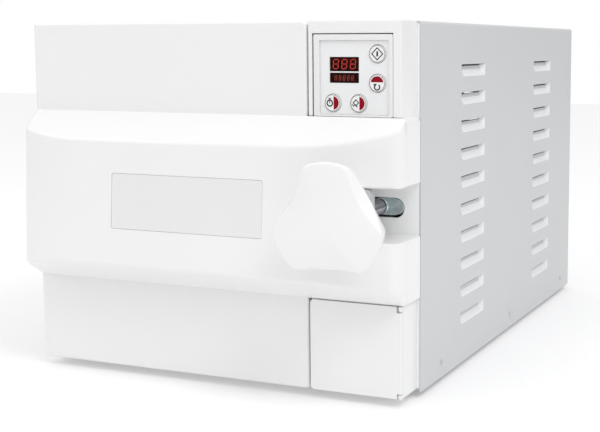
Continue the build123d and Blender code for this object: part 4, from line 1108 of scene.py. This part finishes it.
def make_lid():
    profile = turn_profile([(0, 27.0), (30, 27.0), (60, 27.3), (90, 27.8), (118, 28.7), (143, 30.0),
                            (143, 37.2), (138.5, 37.2), (138.5, 35.0), (122.0, 35.0), (118.0, 34.0),
                            (60.0, 34.0), (0, 34.0)], 0.8)
    return own(lathe("pressure_lid_piece", profile, CHAMBER_X, CHAMBER_Z, 128), "door", "stainless",
               ("pressure_lid",), angle=40)


def make_gasket():
    """A moulded lip seal: a ribbed ring whose sealing lip stands proud."""
    profile = turn_profile([(124.1, 35.1), (124.1, 37.2), (126.6, 38.15), (129.0, 37.3), (131.0, 36.7),
                            (133.2, 37.3), (135.6, 38.15), (138.2, 37.4), (138.2, 35.1)], 0.8)
    return own(lathe("door_gasket_piece", profile, CHAMBER_X, CHAMBER_Z, 128, closed=True), "door",
               "silicone_seal", ("door_gasket",), angle=60)


make_chamber()
make_lid()
make_gasket()

# ---- control panel ------------------------------------------------------------------------------
KEY_R = 8.5
KEY_FACE = 0.8
KEYS = {
    "start_button": (402.7, 333.4),
    "cycle_button": (402.5, 305.7),
    "time_button": (355.6, 286.2),
    "program_button": (382.9, 286.1),
}


def make_keys():
    """Round key caps, a little dished."""
    profile = [(0, 6.6), (KEY_R, 6.6), (KEY_R, 1.5), (KEY_R - 0.12, 1.12), (KEY_R - 0.45, 0.86),
               (KEY_R - 0.9, 0.82), (6.0, 0.9), (3.0, 0.96), (0, 0.98)]
    for node, (x, z) in KEYS.items():
        own(lathe(node + "_piece", profile, x, z, 72), BODY_OF[node], "key_white", (node,), angle=45)


def own_print(name, node, pieces, material="print_dark"):
    return own(join(name, pieces), BODY_OF[node], material, ())


def make_icons():
    """Printed marks on the keys: a ring round each, and general signs for what the key does."""
    y0, y1 = KEY_FACE + 0.02, KEY_FACE + 0.3

    def stroke(x, z, line, width, closed=False):
        return strip("stroke", [(x + u, z + w) for u, w in line], width, y0, y1, closed)

    def red_half(key, start, finish):
        x, z = KEYS[key + "_button"]
        half = prism("half", arc(x, z, 6.6, start, finish, 28), y0, y1)
        own_print(key + "_half", key + "_button", [half], "print_red")

    for node, (x, z) in KEYS.items():
        ring = strip("ring", arc(x, z, 7.85, 0, 360, 60)[:-1], 0.42, y0 - 0.04, y1, True)
        own_print(node + "_ring", node, [ring])
    x, z = KEYS["start_button"]
    own_print("start_mark", "start_button", [
        stroke(x, z, [(-5.7, 0), (0, 5.7), (5.7, 0), (0, -5.7)], 1.3, True),
        stroke(x, z, [(0, -2.4), (0, 2.4)], 1.6)])
    x, z = KEYS["cycle_button"]
    own_print("cycle_mark", "cycle_button", [
        strip("stroke", arc(x, z - 3.7, 2.7, 130, 410, 26), 1.2, y0, y1),
        prism("arrow", [(x - 3.9, z - 0.9), (x - 0.3, z - 0.5), (x - 2.0, z - 3.4)], y0, y1)])
    red_half("cycle", 8, 172)
    x, z = KEYS["time_button"]
    own_print("time_mark", "time_button", [
        strip("stroke", arc(x - 3.0, z - 0.2, 2.9, 0, 360, 30)[:-1], 1.2, y0, y1, True),
        stroke(x, z, [(-3.0, 1.6), (-3.0, -0.3)], 0.8),
        stroke(x, z, [(-4.2, 4.1), (-1.8, 4.1)], 1.1)])
    red_half("time", -80, 80)
    x, z = KEYS["program_button"]
    own_print("program_mark", "program_button", [
        stroke(x, z, [(-5.4, 0.6), (-2.5, 3.6), (0.3, 0.8), (-2.5, -2.2)], 1.1, True),
        stroke(x, z, [(-6.4, -0.9), (-4.8, -2.7), (-3.0, -1.0), (-1.2, -3.5)], 1.0)])
    red_half("program", -80, 80)


# The ends of the top, middle, bottom, upper and lower bars of a figure, in shares of its size.
SEGMENTS = (((0.12, 1.0), (0.88, 1.0)), ((0.12, 0.5), (0.88, 0.5)), ((0.12, 0.0), (0.88, 0.0)),
            ((0.0, 0.56), (0.0, 0.94)), ((1.0, 0.56), (1.0, 0.94)),
            ((0.0, 0.06), (0.0, 0.44)), ((1.0, 0.06), (1.0, 0.44)))


def digit(x, z, wide, tall, stroke, y0, y1, lean=0.1):
    """One seven-segment figure with every segment lit."""
    bars = []
    half = stroke / 2
    for ends in SEGMENTS:
        a, b = [(x + u * wide + w * tall * lean, z + w * tall) for u, w in ends]
        size = math.hypot(b[0] - a[0], b[1] - a[1])
        u, w = (b[0] - a[0]) / size * half, (b[1] - a[1]) / size * half
        outline = [(at[0] + u * along - w * side, at[1] + w * along + u * side)
                   for at, along, side in ((a, -0.6, 0), (a, 0.4, 1), (b, -0.4, 1),
                                           (b, 0.6, 0), (b, -0.4, -1), (a, 0.4, -1))]
        bars.append(prism("bar", outline, y0, y1))
    return bars


def make_digits():
    """The lit figures: three large ones above five small ones."""
    for name, count, x, step, z, wide, tall, stroke, finish in (
            ("upper_digits", 3, 355.2, 9.1, 319.2, 5.2, 8.8, 0.85, "digit_bright"),
            ("lower_digits", 5, 357.0, 4.4, 308.0, 1.9, 4.6, 0.42, "digit_dim")):
        bars = []
        for i in range(count):
            bars += digit(x + i * step, z, wide, tall, stroke, 3.02, 3.18)
        own(join(name, bars), "housing", finish, ())


# Left, right, low and high edges of the bezel, its opening, the plate behind it and the printed film.
BEZEL = (335.6, 418.85, 273.2, 351.9)
OPENING = (341.7, 414.9, 275.2, 346.1)
BACKING = (336.5, 416.7, 274.3, 350.5)
FILM = (341.9, 414.7, 275.4, 345.9)
# Middle, width and height of each display.
DISPLAYS = ((367.7, 323.5, 30.5, 13.4), (367.7, 310.4, 30.5, 9.4))


def make_panel():
    """The bezel's raised frame, the plate behind it and the printed film that lies in it."""
    windows = [circle_ring(x, z, KEY_R + 0.5, 60) for x, z in KEYS.values()]
    for x, z, wide, tall in DISPLAYS:
        u, w = wide / 2 + 0.2, tall / 2 + 0.2
        windows.append(rectangle_ring(x - u, x + u, z - w, z + w, 0.5, True))
    rings = [rectangle_ring(*BEZEL, 1.6), rectangle_ring(*OPENING, 1.2, True)]
    rim = plate("bezel_frame", rings, 0.0, 4.98, 0.7, 3)
    back = plate("bezel_back", [rectangle_ring(*BACKING, 1.0)] + windows, 2.52, 4.9, 0.15)
    own(join("control_bezel_piece", [rim, back]), "housing", "bezel_white", ("control_bezel",))
    film = plate("control_overlay_piece", [rectangle_ring(*FILM, 1.0)] + windows, 2.0, 2.5, 0.1)
    own(film, "housing", "overlay_grey", ("control_overlay",))


make_panel()
make_keys()
make_icons()
make_digits()

# ---- feet and rear fittings ---------------------------------------------------------------------
def make_feet():
    low, high = node_box("feet")
    profile = [(0, -9.0), (10.6, -9.0), (12.2, -8.7), (13.2, -7.8), (13.6, -6.4), (12.9, high.z - 0.4),
               (12.5, high.z), (0, high.z)]
    pieces = [lathe("foot", profile, x, y, 40, upright=True)
              for x in (low.x + 14, high.x - 14) for y in (low.y + 14, high.y - 14)]
    return own(join("feet_piece", pieces), "housing", "black_rubber", ("feet",), angle=50)


def make_spigot():
    """The drain's brass spigot with hose barbs."""
    low, high = node_box("drain_nozzle")
    x, z = low.x + 12, low.z + 12
    y0 = local((0, 0.299, 0)).y
    flange = local((0, 0.343, 0)).y
    tip = high.y
    profile = [(3.0, tip - 0.05), (4.6, tip - 0.05), (5.2, tip - 0.8)]
    for i in range(3):
        y = tip - 0.8 - i * 3.6
        profile += [(5.95, y - 2.6), (5.95, y - 3.0), (5.2, y - 3.4)]
    collar = ((5.9, 4.4), (5.9, 4.0), (11.6, 4.0), (11.95, 3.5), (11.95, 0.4), (11.6, 0.02), (8.0, 0.0))
    profile += [(r, flange + y) for r, y in collar] + [(8.0, y0), (3.0, y0)]
    return own(lathe("drain_nozzle_piece", profile, x, z, 64, closed=True), "housing", "brass_fitting",
               ("drain_nozzle",), angle=28)


def make_rear_panel():
    low, high = node_box("rear_panel")
    middle = (low.x + high.x) / 2
    inlet = local((0.150, 0, 0.060))
    drain = local((-0.150, 0, 0.052))
    vent = local((0, 0, 0.250))
    rings = [rectangle_ring(low.x, high.x, low.z, high.z, 2.0),
             rectangle_ring(inlet.x - 14.2, inlet.x + 14.2, inlet.z - 10.2, inlet.z + 10.2, 0.5, True),
             circle_ring(drain.x, drain.z, 8.2, 32)]
    rings += [slot_ring(vent.x + (i - 2) * 60, vent.z + (j - 3.5) * 12, 44, 5)
              for i in range(5) for j in range(8)]
    piece = plate("rear_panel_piece", rings, 0.0, 1.5, 0.25)
    # The plate's rounded side faces the back.
    for vertex in piece.data.vertices:
        y = local(vertex.co).y
        vertex.co.y = place(0, high.y - y, 0).y
    piece.data.flip_normals()
    own(piece, "housing", "casing_paint", ("rear_panel",))


def make_front_plate():
    low, high = node_box("front_plate")
    rings = [rectangle_ring(low.x, high.x, low.z, high.z, 2.0),
             circle_ring(CHAMBER_X, CHAMBER_Z, 128.2, 128),
             slot_ring(394.0, LATCH_Z, 40.0, 20.0), rectangle_ring(350.0, 369.4, 25.8, 54.2, 0.6, True),
             circle_ring(407.7, 64.0, 6.2, 32), circle_ring(407.7, 26.0, 6.2, 32),
             circle_ring(383.7, 20.0, 5.2, 32), slot_ring(349.7, 240.0, 30, 12, True)]
    own(plate("front_plate_piece", rings, low.y, high.y, 0.6, 3), "housing", "plate_paint_and_painted_light",
        ("front_plate",))


make_feet()
make_spigot()
make_rear_panel()
make_front_plate()

# ---- CAD shapes that are right, with their edges rounded ------------------------------------------
EDGES = {
    "side_column": 1.6, "service_cover": 0.45, "display_windows": 0.2, "display_modules": 0.2,
    "door_frame_plate": 0.5, "door_crossbar": 1.0, "crossbar_spacers": 0.5, "lid_centre_bolt": 0.5,
    "hinge_brackets": 0.45, "hinge_arms": 0.45, "hinge_pins": 0.35, "hinge_screws": 0.5,
    "base_pan": 0.3, "casing_screws": 0.35, "power_inlet": 0.6, "inlet_pins": 0.4,
    "power_switch_housing": 0.6, "power_switch_rocker": 0.5, "drain_valve_body": 0.4,
    "drain_valve_knob": 0.6, "fuse_holders": 0.7, "tray_rack": 0.2, "trays": 0.25,
    "service_cover_pins": 0.2,
}
for node, width in EDGES.items():
    refine(node, width)
shown = {name for obj in bpy.data.objects for name in obj.get("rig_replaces", [])}
for node, obj in NODES.items():
    if node not in shown:
        obj.data.materials.clear()
        obj.data.materials.append(MATERIALS[SLOT_OF[node]])

# ---- floor: it reaches well past every view, at the level of the feet's soles -----------------------
REACH = 6000
SOLE = -9.0
floor = new_object("floor", [(-REACH, -REACH, SOLE), (REACH, -REACH, SOLE), (REACH, REACH, SOLE),
                             (-REACH, REACH, SOLE)], [(0, 1, 2, 3)])
floor.data.materials.append(MATERIALS["floor"])
